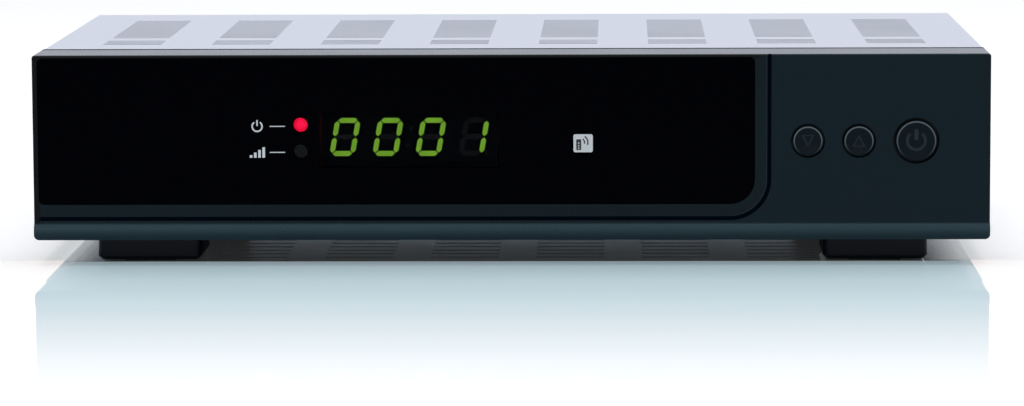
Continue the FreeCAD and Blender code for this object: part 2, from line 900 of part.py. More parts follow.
def makeCover():
    cover = newBody("top_cover")
    front = "bezelDepth + seamGap"
    side, inner = coverHalf, coverHalf + " - sheetThick"
    grow(cover, "Y", front, "caseDepth", [(rectangle, "-" + side, side, "0", coverTop)])
    ease(cover, "coverBend", lambda box: alongY(box) and near(box.ZMin, value(coverTop)))
    carve(cover, "Y", front, "caseDepth", [
        (rectangle, "-(%s)" % inner, inner, "sheetThick", coverTop + " - sheetThick")])
    carve(cover, "Z", "0", "sheetThick", [
        (rectangle, "-(%s - coverReturn)" % side, side + " - coverReturn", front, "caseDepth")])
    innerBend = lambda box: alongY(box) and near(box.ZMin, value(coverTop + " - sheetThick"))
    ease(cover, "coverBend - sheetThick", innerBend)
    tongueTop = coverTop + " - tongueDrop + sheetThick"
    reach = side + " - tongueInset"
    tip, inside = front + " - coverTongue", front + " + sheetThick"
    tongueLow, sheetLow = tongueTop + " - sheetThick", coverTop + " - sheetThick"
    step = [(tip, tongueLow), (inside, tongueLow), (inside, sheetLow), (front, sheetLow),
            (front, tongueTop), (tip, tongueTop)]
    grow(cover, "X", "-(%s)" % reach, reach, [(outline, step)])
    grow(cover, "Y", "caseDepth - sheetThick", "caseDepth", [
        (rectangle, "-(%s)" % inner, inner, coverTop + " - rearFlange", coverTop + " - sheetThick")])
    carve(cover, "Y", "caseDepth - sheetThick", "caseDepth", [
        (disc, x, z, "holeRadius") for x, z in coverScrews])
    for start, rows in (("frontVentY", "frontVentRows"), ("rearVentY", "rearVentRows")):
        slot = carve(cover, "Z", coverTop + " - sheetThick", coverTop, [
            (rectangle, "-3.5 * ventPitchX - ventWide / 2", "-3.5 * ventPitchX + ventWide / 2",
             start, start + " + slotWide")])
        repeat(cover, slot, [("X_Axis", "ventPitchX", "8"), ("Y_Axis", "slotPitch", rows)])


mainScrews = [("mainScrewLeft", "mainScrewNear"), ("mainScrewRight", "mainScrewNear"),
              ("mainScrewLeft", "mainScrewFar"), ("mainScrewInner", "mainScrewFar")]
supplyScrews = [(x, y) for x in ("supplyScrewLeft", "supplyScrewRight")
                for y in ("supplyScrewNear", "supplyScrewFar")]
feet = [("-frontFootX", "frontFootY"), ("frontFootX", "frontFootY"),
        ("-rearFootX", "rearFootY"), ("rearFootX", "rearFootY")]
footScrewPlaces = [(x, "%s + footDeep / 2 + footScrewShift" % y) for x, y in feet]
panelScrews = [("-panelScrewX", "panelScrewZ"), ("panelScrewX", "panelScrewZ")]
coverScrews = [(x, coverTop + " - coverScrewDrop") for x in ("-coverScrewX", "0", "coverScrewX")]


def makePan():
    pan = newBody("chassis_pan")
    half = panHalf
    grow(pan, "Z", "0", "sheetThick", [(rectangle, "-" + half, half, panFront, panRearFace)])
    grow(pan, "Y", panFront, panFront + " + sheetThick", [
        (rectangle, "-" + half, half, "sheetThick", "panFrontTop")])
    grow(pan, "Y", panRearFace + " - sheetThick", panRearFace, [
        (rectangle, "-" + half, half, "sheetThick", "panRear")])
    for way in ("-", ""):
        outer, inner = way + half, "%s(%s - sheetThick)" % (way, half)
        low, high = (outer, inner) if way else (inner, outer)
        grow(pan, "X", low, high, [
            (rectangle, panFront + " + sheetThick", panRearFace + " - sheetThick", "sheetThick", "panSide")])
    standoffs = mainScrews + supplyScrews
    grow(pan, "Z", "sheetThick", "boardLift", [(disc, x, y, "standoffRadius") for x, y in standoffs])
    carve(pan, "Z", "0", "boardLift", [(disc, x, y, "pilotRadius") for x, y in standoffs])
    carve(pan, "Z", "0", "sheetThick", [(disc, x, y, "pilotRadius") for x, y in footScrewPlaces])
    carve(pan, "Y", panFront, panFront + " + sheetThick", [
        (disc, x, z, "holeRadius") for x, z in bezelPosts] + [
        (rectangle, "panWindowLeft", "panWindowRight", "panWindowLow", "panWindowTop")])
    carve(pan, "Y", panRearFace + " - sheetThick", panRearFace, [
        (disc, x, z, "pilotRadius") for x, z in panelScrews])
    slot = carve(pan, "Z", "0", "sheetThick", [
        (rectangle, "-2.5 * ventPitchX - underVentWide / 2", "-2.5 * ventPitchX + underVentWide / 2",
         "underVentY - underSlotWide / 2", "underVentY + underSlotWide / 2")])
    repeat(pan, slot, [("X_Axis", "ventPitchX", "6"), ("Y_Axis", "underSlotPitch", "underVentRows")])


def scartShape(sketch, spread):
    """A SCART outline: one upper corner is cut away."""
    left, right = "scartX - scartShroudHalf - (%s)" % spread, "scartX + scartShroudHalf + (%s)" % spread
    low, top = "%s - (%s)" % (scartBase, spread), "%s + (%s)" % (scartTop, spread)
    outline(sketch, [(left, low), (right, low), (right, top + " - scartShroudSlope"),
                     (right + " - scartShroudSlope", top), (left, top)])


def serialShape(sketch, spread):
    """The D of a nine pin socket: its long side is on top."""
    low, top = "serialZ - serialHalf - (%s)" % spread, "serialZ + serialHalf + (%s)" % spread
    left, right = [["serialX %s (%s + %s)" % (sign, size, spread) for size in ("serialLow", "serialTop")]
                   for sign in "-+"]
    outline(sketch, [(left[0], low), (right[0], low), (right[1], top), (left[1], top)])


phonos = [("yellow", "videoX"), ("white", "(videoX - phonoPitch)"), ("red", "(videoX - 2 * phonoPitch)"),
          ("orange", "digitalX")]
lnbs = ["lnbInX", "lnbOutX"]


def makeRearPanel():
    panel = newBody("rear_panel")
    half = panHalf
    grow(panel, "Y", panelInner, panelOuter, [
        (rectangle, "-" + half, half, "0", coverTop + " - sheetThick - 0.3")])
    holes = [(disc, x, "lnbHeight", "lnbCollar + connectorFit") for x in lnbs]
    holes += [(disc, x, "phonoZ", "collarRadius + connectorFit") for name, x in phonos]
    holes += [(disc, x, z, "holeRadius") for x, z in panelScrews]
    holes += [(disc, x, z, "pilotRadius") for x, z in coverScrews]
    holes += [(disc, "serialX + %s" % x, "serialZ", "holeRadius") for x in ("serialPostX", "-serialPostX")]
    holes.append((rectangle, "hdmiX - hdmiWide / 2 - connectorFit", "hdmiX + hdmiWide / 2 + connectorFit",
                  boardTop + " + 0.4 - connectorFit", boardTop + " + 0.4 + hdmiHigh + connectorFit"))
    holes.append((serialShape, "connectorFit"))
    holes.append((scartShape, "connectorFit"))
    holes.append((rectangle, "inletX - inletHalf - connectorFit", "inletX + inletHalf + connectorFit",
                  "inletZ - inletHalfHigh - connectorFit", "inletZ + inletHalfHigh + connectorFit"))
    carve(panel, "Y", panelInner, panelOuter, holes)


def makeFoot(x, y):
    foot = doc.addObject("PartDesign::Body", "Foot")
    middle = "(%s + footDeep / 2)" % y
    low = "-standHeight + padProud"
    grow(foot, "Z", low, "0", [
        (rectangle, x + " - footWide / 2", x + " + footWide / 2", y, y + " + footDeep")])
    ease(foot, "footRound", alongZ)
    ease(foot, "footChamfer", lambda box: near(box.ZMax, value(low)), "Chamfer")
    screwY, sink = middle + " + footScrewShift", low + " + footScrewSink"
    carve(foot, "Z", low, sink, [(disc, x, screwY, "screwHead + headFit")])
    carve(foot, "Z", sink, "0", [(disc, x, screwY, "holeRadius")])
    carve(foot, "Z", low, low + " + padThick - padProud", [
        (rectangle, x + " - padSide / 2", x + " + padSide / 2",
         middle + " + padShift - padSide / 2", middle + " + padShift + padSide / 2")])
    return foot


def makePads():
    pads = []
    for x, y in feet:
        middle = "(%s + footDeep / 2 + padShift)" % y
        pads.append(block((x + " - padSide / 2", x + " + padSide / 2"),
                          (middle + " - padSide / 2", middle + " + padSide / 2"),
                          ("-standHeight", "-standHeight + padThick")))
    keep(joined(pads), "foot_pads")


# Main board and its parts

def makeMainBoard():
    board = newBody("main_board")
    grow(board, "Z", "boardLift", boardTop, [(rectangle, "mainLeft", "mainRight", "mainFront", "mainRear")])
    carve(board, "Z", "boardLift", boardTop, [(disc, x, y, "holeRadius") for x, y in mainScrews])


def onBoard(x, y, wide, deep, high, lift="0"):
    """A block that stands on a board, from its middle and its three sizes."""
    half = lambda middle, length: ("(%s) - (%s) / 2" % (middle, length), "(%s) + (%s) / 2" % (middle, length))
    base = "%s + %s" % (boardTop, lift)
    return block(half(x, wide), half(y, deep), (base, "%s + %s" % (base, high)))


def standing(x, y, radius, high):
    return rod("Z", x, y, boardTop, radius, high)


capacitorPlaces = [("mainLeft + 14", "80"), ("mainLeft + 26", "80"), ("mainLeft + 38", "84"),
                   ("decoderX - 20", "68"), ("decoderX + 60", "70")]
wireHeaders = ["(supplyRight - wireHeaderInset)", "(mainLeft + wireHeaderInset)"]


def makeMainParts():
    keep(onBoard("decoderX", "decoderY", "chipSide", "chipSide", "chipHigh"), "decoder_chip")
    heatsink = newBody("decoder_heatsink")
    left, right = "decoderX - heatsinkSide / 2", "decoderX + heatsinkSide / 2"
    front, rear = "decoderY - heatsinkSide / 2", "decoderY + heatsinkSide / 2"
    plateTop = heatsinkSeat + " + heatsinkBase"
    grow(heatsink, "Z", heatsinkSeat, plateTop, [(rectangle, left, right, front, rear)])
    fin = grow(heatsink, "Z", plateTop, heatsinkSeat + " + heatsinkHigh", [
        (rectangle, left, left + " + finThick", front, rear)])
    repeat(heatsink, fin, [("X_Axis", "(heatsinkSide - finThick) / (finCount - 1)", "finCount")])
    chips = [onBoard("memoryX", "memoryY %s memoryPitch / 2" % side, "memoryWide", "memoryDeep", "memoryHigh")
             for side in ("-", "+")]
    chips.append(onBoard("audioChipX", "chipRowY", "audioChipWide", "audioChipDeep", "audioChipHigh"))
    chips.append(onBoard("videoChipX", "chipRowY", "videoChipSide", "videoChipSide", "videoChipHigh"))
    keep(joined(chips), "board_chips")
    keep(onBoard("crystalX", "crystalY", "crystalWide", "crystalDeep", "crystalHigh"), "clock_crystal")
    cans = [standing(x, y, "smallCanRadius", "smallCanHigh") for x, y in capacitorPlaces]
    cans += [standing("supplyRight - outputCanInset - %d * outputCanPitch" % index, "outputCanY",
                      "smallCanRadius", "outputCanHigh") for index in range(3)]
    keep(joined(cans), "small_capacitors")
    headers = [onBoard(x, "wireHeaderY", "wireHeaderWide", "wireHeaderDeep", "wireHeaderHigh")
               for x in wireHeaders]
    headers.append(onBoard("ribbonX", "ribbonHeaderY", "ribbonHeaderWide", "ribbonHeaderDeep",
                           "ribbonHeaderHigh"))
    headers.append(block(("ribbonX - ribbonHeaderWide / 2", "ribbonX + ribbonHeaderWide / 2"),
                         (boardBack, boardBack + " + frontHeaderDeep"),
                         ("ribbonLow - frontHeaderHigh / 2", "ribbonLow + frontHeaderHigh / 2")))
    keep(joined(headers), "cable_headers")


def makeTuner():
    rear = panelInner + " - canClearance"
    keep(block(("tunerLeft", "tunerRight"), ("tunerFront", rear), (boardTop, boardTop + " + tunerHigh")),
         "tuner_can")
    connectors = []
    long = "%s - (%s)" % (rearMost, rear)
    for x in lnbs:
        solid = joined([rod("Y", x, rear, "lnbHeight", "lnbCollar",
                            "lnbShoulder + canClearance + sheetThick"),
                        rod("Y", x, rear, "lnbHeight", "lnbRadius", long)])
        connectors.append(without(solid, [rod("Y", x, rear, "lnbHeight", "lnbBore", long)]))
    keep(together(connectors), "lnb_connectors")
    cores = [rod("Y", x, rear, "lnbHeight", "lnbBore", long + " - insulatorSink") for x in lnbs]
    holes = [rod("Y", x, rearMost + " - 8", "lnbHeight", "contactRadius", "8") for x in lnbs]
    keep(without(joined(cores), holes), "lnb_insulators")


def makeHdmi():
    half, low = "hdmiWide / 2", boardTop + " + 0.4"
    face = panelOuter + " + 0.6"
    shell = block(("hdmiX - " + half, "hdmiX + " + half), (face + " - hdmiDeep", face),
                  (low, low + " + hdmiHigh"))
    inside = block(("hdmiX - %s + hdmiWall" % half, "hdmiX + %s - hdmiWall" % half),
                   (face + " - hdmiDeep + 2", face),
                   (low + " + hdmiWall", low + " + hdmiHigh - hdmiWall"))
    legs = [block(("hdmiX + %s" % a, "hdmiX + %s" % b), (face + " - 8", face + " - 6"), (boardTop, low))
            for a, b in (("-7", "-6"), ("6", "7"))]
    keep(joined([without(shell, [inside])] + legs), "hdmi_shell")
    tongue = "hdmiTongueWide / 2"
    middle = low + " + hdmiHigh / 2"
    keep(block(("hdmiX - " + tongue, "hdmiX + " + tongue), (face + " - hdmiDeep + 2", face + " - 1.2"),
               (middle + " - hdmiTongueHigh / 2 + 0.6", middle + " + hdmiTongueHigh / 2 + 0.6")),
         "hdmi_tongue")


def makeSerial():
    shell = newBody("serial_shell")
    plate = ["serialX - serialPlateWide / 2", "serialX + serialPlateWide / 2",
             "serialZ - serialPlateHigh / 2", "serialZ + serialPlateHigh / 2"]
    back = panelInner + " - 0.8"
    reach = panelOuter + " + serialReach"
    grow(shell, "Y", back, panelInner, [tuple([rectangle] + plate)])
    grow(shell, "Y", panelInner, reach, [(serialShape, "0")])
    carve(shell, "Y", back, reach, [(serialShape, "-0.5")])
    carve(shell, "Y", back, panelInner, [(disc, "serialX + %s" % x, "serialZ", "pilotRadius")
                                         for x in ("serialPostX", "-serialPostX")])
    core = newBody("serial_core")
    grow(core, "Y", back + " - 10", back, [tuple([rectangle] + [
        plate[0] + " + 4.4", plate[1] + " - 4.4", boardTop, plate[3]])])
    grow(core, "Y", back, reach + " - 0.4", [(serialShape, "-0.5")])
    for shift, count, z in (("-5.54", "5", "1.42"), ("-4.155", "4", "-1.42")):
        pin = carve(core, "Y", reach + " - 6.4", reach + " - 0.4", [
            (disc, "serialX + " + shift, "serialZ + " + z, "0.55")])
        repeat(core, pin, [("X_Axis", "2.77", count)])
    posts = []
    for side in ("serialPostX", "-serialPostX"):
        hexagon = doc.addObject("Part::Prism", "Hexagon")
        hexagon.Polygon = 6
        hexagon.Placement = FreeCAD.Placement(Vector(), turned["Y"])
        bind(hexagon, {"Circumradius": "serialPostRadius * 1.1547", "Height": "serialPostLong",
                       "Placement.Base.x": "serialX + " + side, "Placement.Base.y": panelOuter,
                       "Placement.Base.z": "serialZ"})
        stud = rod("Y", "serialX + " + side, back + " - 2", "serialZ", "screwRadius",
                   "%s - (%s) + 2" % (panelOuter, back))
        bore = rod("Y", "serialX + " + side, panelOuter + " + 0.8", "serialZ", "1.2", "serialPostLong")
        posts.append(without(joined([hexagon, stud]), [bore]))
    keep(together(posts), "serial_jack_posts")


def makePhonos():
    front = panelInner + " - phonoBlockDeep"
    reach = "phonoReach + (%s) - (%s)" % (panelOuter, panelInner)
    sleeves, cores = [], []
    for name, x in phonos:
        sleeve = rod("Y", x, panelInner, "phonoZ", "phonoRadius", reach)
        sleeves.append(without(sleeve, [rod("Y", x, panelInner, "phonoZ", "phonoBore", reach)]))
        core = rod("Y", x, panelInner, "phonoZ", "phonoBore", reach + " - coreSink")
        cores.append(without(core, [rod("Y", x, panelInner + " + coreFloor", "phonoZ", "phonoPin", reach)]))
        ring = rod("Y", x, panelInner, "phonoZ", "collarRadius", "collarReach + sheetThick")
        hole = rod("Y", x, panelInner, "phonoZ", "phonoRadius", "collarReach + sheetThick")
        keep(without(ring, [hole]), "phono_collar_" + name)
    keep(together(sleeves), "phono_sleeves")
    keep(together(cores), "phono_cores")
    keep(together([block((left + " - phonoHalf", right + " + phonoHalf"), (front, panelInner),
                         (boardTop, "phonoBlockTop"))
                   for left, right in (("videoX - 2 * phonoPitch", "videoX"), ("digitalX", "digitalX"))]),
         "phono_blocks")


def makeScart():
    socket = newBody("scart_socket")
    mouth = panelOuter + " + 1.2"
    grow(socket, "Y", panelInner + " - scartDeep", panelInner, [
        (rectangle, "scartX - scartHalf", "scartX + scartHalf", boardTop, "scartLow + scartHigh")])
    grow(socket, "Y", panelInner, mouth, [(scartShape, "0")])
    doc.recompute()
    ring = profile(socket, "Y", mouth + " - scartCavity", [
        (scartShape, "-scartWall"), (scartShape, "-scartWall - scartRing")])
    pocket = socket.newObject("PartDesign::Pocket", "Ring")
    pocket.Profile = ring
    bind(pocket, {"Length": "scartCavity"})
    socket.Tip = pocket
    doc.recompute()
    for z, count in (("scartRowGap", "9"), ("-scartRowGap", "10")):
        slot = carve(socket, "Y", mouth + " - 8", mouth, [
            (rectangle, "scartX - 4.5 * scartSlotPitch - scartSlotWide / 2",
             "scartX - 4.5 * scartSlotPitch + scartSlotWide / 2",
             "%s + %s - scartSlotHigh / 2" % (scartMiddle, z),
             "%s + %s + scartSlotHigh / 2" % (scartMiddle, z))])
        repeat(socket, slot, [("X_Axis", "scartSlotPitch", count)])


# Power supply

def makeSupply():
    board = newBody("supply_board")
    grow(board, "Z", "boardLift", boardTop, [
        (rectangle, "supplyLeft", "supplyRight", "supplyFront", "supplyRear")])
    carve(board, "Z", "boardLift", boardTop, [(disc, x, y, "holeRadius") for x, y in supplyScrews])
    sheetBody = newBody("insulation_sheet")
    grow(sheetBody, "Z", "sheetThick", "sheetThick + insulationThick", [
        (rectangle, "supplyLeft", "-2.5 * ventPitchX - underVentWide / 2 - insulationGap",
         "supplyFront", "supplyRear")])
    carve(sheetBody, "Z", "sheetThick", "sheetThick + insulationThick", [
        (disc, "supplyScrewLeft", y, "standoffRadius + standoffFit")
        for y in ("supplyScrewNear", "supplyScrewFar")] + [
        (disc, x, y, "holeRadius") for x, y in (footScrewPlaces[0], footScrewPlaces[2])])

    inlet = newBody("mains_inlet")
    mouth = panelOuter + " + inletReach"
    grow(inlet, "Y", mouth + " - inletDeep", mouth, [
        (rectangle, "inletX - inletHalf", "inletX + inletHalf",
         "inletZ - inletHalfHigh", "inletZ + inletHalfHigh")])
    grow(inlet, "Z", boardTop, "inletZ - inletHalfHigh", [
        (rectangle, "inletX - inletHalf", "inletX + inletHalf", mouth + " - inletDeep", "supplyRear - 1")])
    deep = mouth + " - inletCavity"
    for side in ("-", "+"):
        carve(inlet, "Y", deep, mouth, [(disc, "inletX %s inletPinX" % side, "inletZ", "inletLobe")])
    carve(inlet, "Y", deep, mouth, [(rectangle, "inletX - inletPinX", "inletX + inletPinX",
                                     "inletZ - inletWaist", "inletZ + inletWaist")])
    keep(joined([rod("Y", "inletX %s inletPinX" % side, deep, "inletZ", "inletPinRadius", "inletPinLong")
                 for side in ("-", "+")]), "inlet_pins")

    fuse = rod("Y", "fuseX", "fuseY - fuseLong / 2", boardTop + " + fuseLift", "fuseRadius", "fuseLong")
    clips = [onBoard("fuseX", "fuseY %s clipPitch / 2" % side, "clipWide", "clipDeep", "fuseLift - 1")
             for side in ("-", "+")]
    keep(joined([fuse] + clips), "mains_fuse")
    keep(onBoard("chokeX", "chokeY", "chokeWide", "chokeDeep", "chokeHigh"), "line_choke")
    keep(onBoard("filterX", "filterY", "filterWide", "filterDeep", "filterHigh"), "suppression_capacitor")
    keep(standing("bulkX", "bulkY", "bulkRadius", "bulkHigh"), "bulk_capacitor")
    middle = "(supplyLeft + supplyRight) / 2"
    core = onBoard(middle, "coreY", "coreWide", "coreDeep", "coreHigh")
    winding = onBoard(middle, "coreY", "windingWide", "windingDeep", "windingHigh", "windingLift")
    keep(joined([core, winding]), "transformer")
    cooler = newBody("supply_heatsink")
    coolerFace = "coolerX + coolerThick"
    grow(cooler, "X", "coolerX", coolerFace, [
        (rectangle, "coolerFront", "coolerFront + coolerLong", boardTop, boardTop + " + coolerHigh")])
    grow(cooler, "X", coolerFace, coolerFace + " + coolerFlange", [
        (rectangle, "coolerFront", "coolerFront + flangeDeep", boardTop, boardTop + " + coolerHigh")])
    keep(block((coolerFace, coolerFace + " + coolerFlange"),
               ("transistorY - transistorWide / 2", "transistorY + transistorWide / 2"),
               (boardTop + " + transistorLow", boardTop + " + transistorLow + transistorHigh")),
         "power_transistor")


def bentPath(points):
    """Straight runs joined by tangent arcs, each as large as its two runs allow."""
    edges = []
    start = points[0]
    for before, corner, after in zip(points, points[1:], points[2:]):
        back, ahead = before - corner, after - corner
        reach = 0.45 * min(back.Length, ahead.Length)
        back.normalize()
        ahead.normalize()
        first, last = corner + back * reach, corner + ahead * reach
        turn = math.pi - back.getAngle(ahead)
        radius = reach / math.tan(turn / 2)
        inward = (back + ahead).normalize()
        middle = corner + inward * (radius / math.cos(turn / 2) - radius)
        edges += [Part.LineSegment(start, first).toShape(), Part.Arc(first, middle, last).toShape()]
        start = last
    edges.append(Part.LineSegment(start, points[-1]).toShape())
    return Part.Wire(edges)


def swept(section, path):
    return path.makePipeShell([section], True, False)


def makeRibbon():
    """The flat cable leaves the front board's header level and ends upright in the main board's."""
    x, low, end = value("ribbonX"), value("ribbonLow"), value("ribbonHeaderY")
    wide, thick = value("ribbonWide"), value("ribbonThick")
    start = value(boardBack + " + frontHeaderDeep")
    top = value(boardTop + " + ribbonHeaderHigh")
    reach, arch = (end - start) / 4, top + 18
    path = bentPath([Vector(x, y, z) for y, z in (
        (start, low), (start + reach, low), (start + 2 * reach, arch - 3),
        (end - 5, arch), (end, arch - 7), (end, top))])
    corners = [Vector(x + a * wide / 2, start, low + b * thick / 2)
               for a, b in ((-1, -1), (1, -1), (1, 1), (-1, 1), (-1, -1))]
    keepShape("ribbon_cable", swept(Part.makePolygon(corners), path))


def makeWires():
    wires = []
    left, right = [value(x) for x in wireHeaders]
    low, arch = value(boardTop + " + wireHeaderHigh"), value("wireArch")
    for count in range(5):
        y = value("wireHeaderY") + (count - 2) * value("wirePitch")
        path = bentPath([Vector(left, y, low), Vector(left, y, low + 0.7 * arch),
                         Vector((left + right) / 2, y, low + arch),
                         Vector(right, y, low + 0.7 * arch), Vector(right, y, low)])
        ring = Part.makeCircle(value("wireRadius"), Vector(left, y, low), Vector(0, 0, 1))
        wires.append(swept(Part.Wire(ring), path))
    keepShape("power_wires", Part.makeCompound(wires))


makeBezel()
makeWindow()
for kind in buttonKinds:
    makeButton(*kind)
makeSwitches()
makeFrontBoard()
makeDisplay()
keepShape("display_segments", segmentSolids())
makeLamp("power_lamp", "powerLampZ")
makeLamp("signal_lamp", "signalLampZ")
makeReceiver()
makeCover()
makePan()
makeRearPanel()
keep(together([makeFoot(x, y) for x, y in feet]), "feet")
makePads()
makeMainBoard()
makeMainParts()
makeTuner()
makeHdmi()
makeSerial()
makePhonos()
makeScart()
makeSupply()
makeRibbon()
makeWires()
keep(together([screws("Y", -1, panFront + " + sheetThick", bezelPosts, "bezelScrew"),
               screws("Y", -1, boardBack, boardPosts, "frontBoardScrew")]), "front_screws")
keep(together([screws("Y", -1, "caseDepth", coverScrews, "caseScrew"),
               screws("Y", -1, panelOuter, panelScrews, "caseScrew")]), "case_screws")
keep(screws("Z", -1, boardTop, mainScrews + supplyScrews, "boardScrew"), "board_screws")
keep(screws("Z", 1, "-standHeight + padProud + footScrewSink", footScrewPlaces, "footScrew"), "foot_screws")

doc.recompute()
for item in doc.Objects:
    if "Invalid" in item.State or "Error" in item.State:
        raise SystemExit("%s failed: %s" % (item.Label, item.State))
os.makedirs("parts", exist_ok=True)
for item in nodes:
    shape = item.Shape
    if shape.isNull() or not shape.isValid() or not shape.Solids:
        raise SystemExit("%s has no valid solid" % item.Label)
    if item.Placement.Base.z != value("standHeight"):
        raise SystemExit("%s doesn't stand with the others" % item.Label)
for item in nodes:
    item.Shape.exportStep("parts/%s.step" % item.Label)
print(len(nodes), "pieces,", sum(len(item.Shape.Solids) for item in nodes), "solids")
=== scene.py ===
import json
import math
import bmesh
import bpy
from mathutils import Matrix, Vector

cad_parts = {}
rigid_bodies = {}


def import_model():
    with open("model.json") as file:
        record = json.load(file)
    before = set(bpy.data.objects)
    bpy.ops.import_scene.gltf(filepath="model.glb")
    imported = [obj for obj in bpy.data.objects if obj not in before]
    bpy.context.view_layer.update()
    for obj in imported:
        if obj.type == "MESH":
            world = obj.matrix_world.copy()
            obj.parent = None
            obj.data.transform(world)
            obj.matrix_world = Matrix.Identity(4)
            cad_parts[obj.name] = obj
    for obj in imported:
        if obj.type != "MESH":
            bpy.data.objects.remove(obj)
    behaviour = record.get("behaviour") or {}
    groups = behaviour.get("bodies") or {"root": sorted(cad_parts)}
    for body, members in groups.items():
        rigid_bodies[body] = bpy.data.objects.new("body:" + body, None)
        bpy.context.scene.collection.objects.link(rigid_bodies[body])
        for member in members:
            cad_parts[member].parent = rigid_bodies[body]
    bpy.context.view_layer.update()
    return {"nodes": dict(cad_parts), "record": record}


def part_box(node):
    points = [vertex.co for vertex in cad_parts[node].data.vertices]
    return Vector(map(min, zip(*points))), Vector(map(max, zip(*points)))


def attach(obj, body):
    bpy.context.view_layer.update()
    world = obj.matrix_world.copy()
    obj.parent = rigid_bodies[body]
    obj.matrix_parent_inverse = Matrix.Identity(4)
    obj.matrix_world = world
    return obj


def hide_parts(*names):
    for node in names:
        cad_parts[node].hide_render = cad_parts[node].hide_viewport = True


for item in list(bpy.data.objects):
    bpy.data.objects.remove(item)
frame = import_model()
nodes = frame["nodes"]
scene = bpy.context.scene
print("frame loaded:", len(nodes), "nodes")

mm = 0.001
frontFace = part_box("display_window")[0].y      # the plane of the window and the button panel
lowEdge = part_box("front_bezel")[0].z           # lower edge of the bezel
creaseAngle = 35                               # degrees, past which an edge stays sharp
black, white = (0, 0, 0, 1), (1, 1, 1, 1)


# Sockets that do arithmetic, and the materials made from them

class Wire:
    def __init__(self, tree, socket):
        self.tree = tree
        self.socket = socket

    def maths(self, operation, first, *others):
        node = self.tree.nodes.new("ShaderNodeMath")
        node.operation = operation
        for place, item in zip(node.inputs, (first,) + others):
            plug(self.tree, place, item)
        return Wire(self.tree, node.outputs[0])

    def __add__(self, other):
        return self.maths("ADD", self, other)

    def __sub__(self, other):
        return self.maths("SUBTRACT", self, other)

    def __rsub__(self, other):
        return self.maths("SUBTRACT", other, self)

    def __mul__(self, other):
        return self.maths("MULTIPLY", self, other)

    def __truediv__(self, other):
        return self.maths("DIVIDE", self, other)

    def __lt__(self, other):
        return self.maths("LESS_THAN", self, other)

    def __gt__(self, other):
        return self.maths("GREATER_THAN", self, other)

    def __abs__(self):
        return self.maths("ABSOLUTE", self)

    __radd__ = __add__
    __rmul__ = __mul__

    def least(self, other):
        return self.maths("MINIMUM", self, other)

    def most(self, other):
        return self.maths("MAXIMUM", self, other)

    def wrap(self, period):
        return self.maths("WRAP", self, period, 0.0)

    def root(self):
        return self.maths("SQRT", self)

    def step(self, low, high):      # 0 below low, 1 above high, smooth between
        node = self.tree.nodes.new("ShaderNodeMapRange")
        node.interpolation_type = "SMOOTHSTEP"
        for place, item in zip(node.inputs, (self, low, high, 0.0, 1.0)):
            plug(self.tree, place, item)
        return Wire(self.tree, node.outputs[0])


def plug(tree, place, item):
    if isinstance(item, Wire):
        tree.links.new(item.socket, place)
    else:
        place.default_value = item


def mixColours(tree, factor, one, two):
    mixer = {"factor": 0, "one": 6, "two": 7, "result": 2}      # places of a Mix node's colour sockets
    made = tree.nodes.new("ShaderNodeMix")
    made.data_type = "RGBA"
    for label, item in (("factor", factor), ("one", one), ("two", two)):
        plug(tree, made.inputs[mixer[label]], item)
    return Wire(tree, made.outputs[mixer["result"]])


def solid(colour):
    return (*colour, 1)


class Finish:
    def __init__(self, name, colour=(0.5, 0.5, 0.5), rough=0.5, metal=0.0, **fixed):
        self.material = bpy.data.materials.new(name)
        self.material.use_nodes = True
        self.tree = self.material.node_tree
        self.shader = self.tree.nodes["Principled BSDF"]
        self.colour = solid(colour)
        self.set("Base Color", self.colour)
        self.set("Roughness", rough)
        self.set("Metallic", metal)
        for label, amount in fixed.items():
            self.set(label.replace("_", " "), amount)

    def set(self, label, item):
        plug(self.tree, self.shader.inputs[label], item)

    def node(self, kind, settings, sockets, out=0):
        made = self.tree.nodes.new("ShaderNode" + kind)
        for label, amount in settings.items():
            setattr(made, label, amount)
        for label, item in sockets.items():
            plug(self.tree, made.inputs[label], item)
        return Wire(self.tree, made.outputs[out])

    def place(self, scale=(1, 1, 1), middle=(0, 0, 0)):      # object coordinates, in millimetres
        raw = self.node("TexCoord", {}, {}, "Object")
        return self.node("Mapping", {"vector_type": "TEXTURE"}, {
            "Vector": raw, "Location": tuple(a * mm for a in middle), "Scale": tuple(mm / a for a in scale)})

    def along(self, vector=None):
        parts = self.node("SeparateXYZ", {}, {"Vector": vector or self.place()})
        return [Wire(self.tree, out) for out in parts.socket.node.outputs]

    def fromFront(self):      # x, the depth behind the front face, the height above the bezel's lower edge
        return self.along(self.place(middle=(0, frontFace / mm, lowEdge / mm)))

    def upward(self, low, high):      # 1 on what faces up
        normal = self.node("NewGeometry", {}, {}, "Normal")
        return self.along(normal)[2].step(low, high)

    def noise(self, size, detail=2.0, stretch=(1, 1, 1)):      # about 0 to 1, features of that many mm
        spots = self.place(scale=tuple(1 / (size * a) for a in stretch))
        return self.node("TexNoise", {}, {"Vector": spots, "Scale": 1.0, "Detail": detail, "Roughness": 0.5})

    def mix(self, factor, one, two):
        return mixColours(self.tree, factor, one, two)

    def tint(self, amount, shift):      # the colour, made lighter or darker by shift where amount is 1 or 0
        low = tuple(max(a * (1 - shift), 0) for a in self.colour[:3]) + (1.0,)
        high = tuple(min(a * (1 + shift), 1) for a in self.colour[:3]) + (1.0,)
        return self.mix(amount, low, high)

    def bump(self, height, deep):      # deep in millimetres
        return self.node("Bump", {}, {"Height": height, "Distance": deep * mm, "Strength": 1.0})


# Finishes

mould = {"flow": 22, "flowDetail": 3, "texture": 0.4, "textureDetail": 2}      # the marks that a mould leaves


def mouldFlow(finish):
    return finish.noise(mould["flow"], mould["flowDetail"])


def mouldTexture(finish):
    return finish.noise(mould["texture"], mould["textureDetail"])


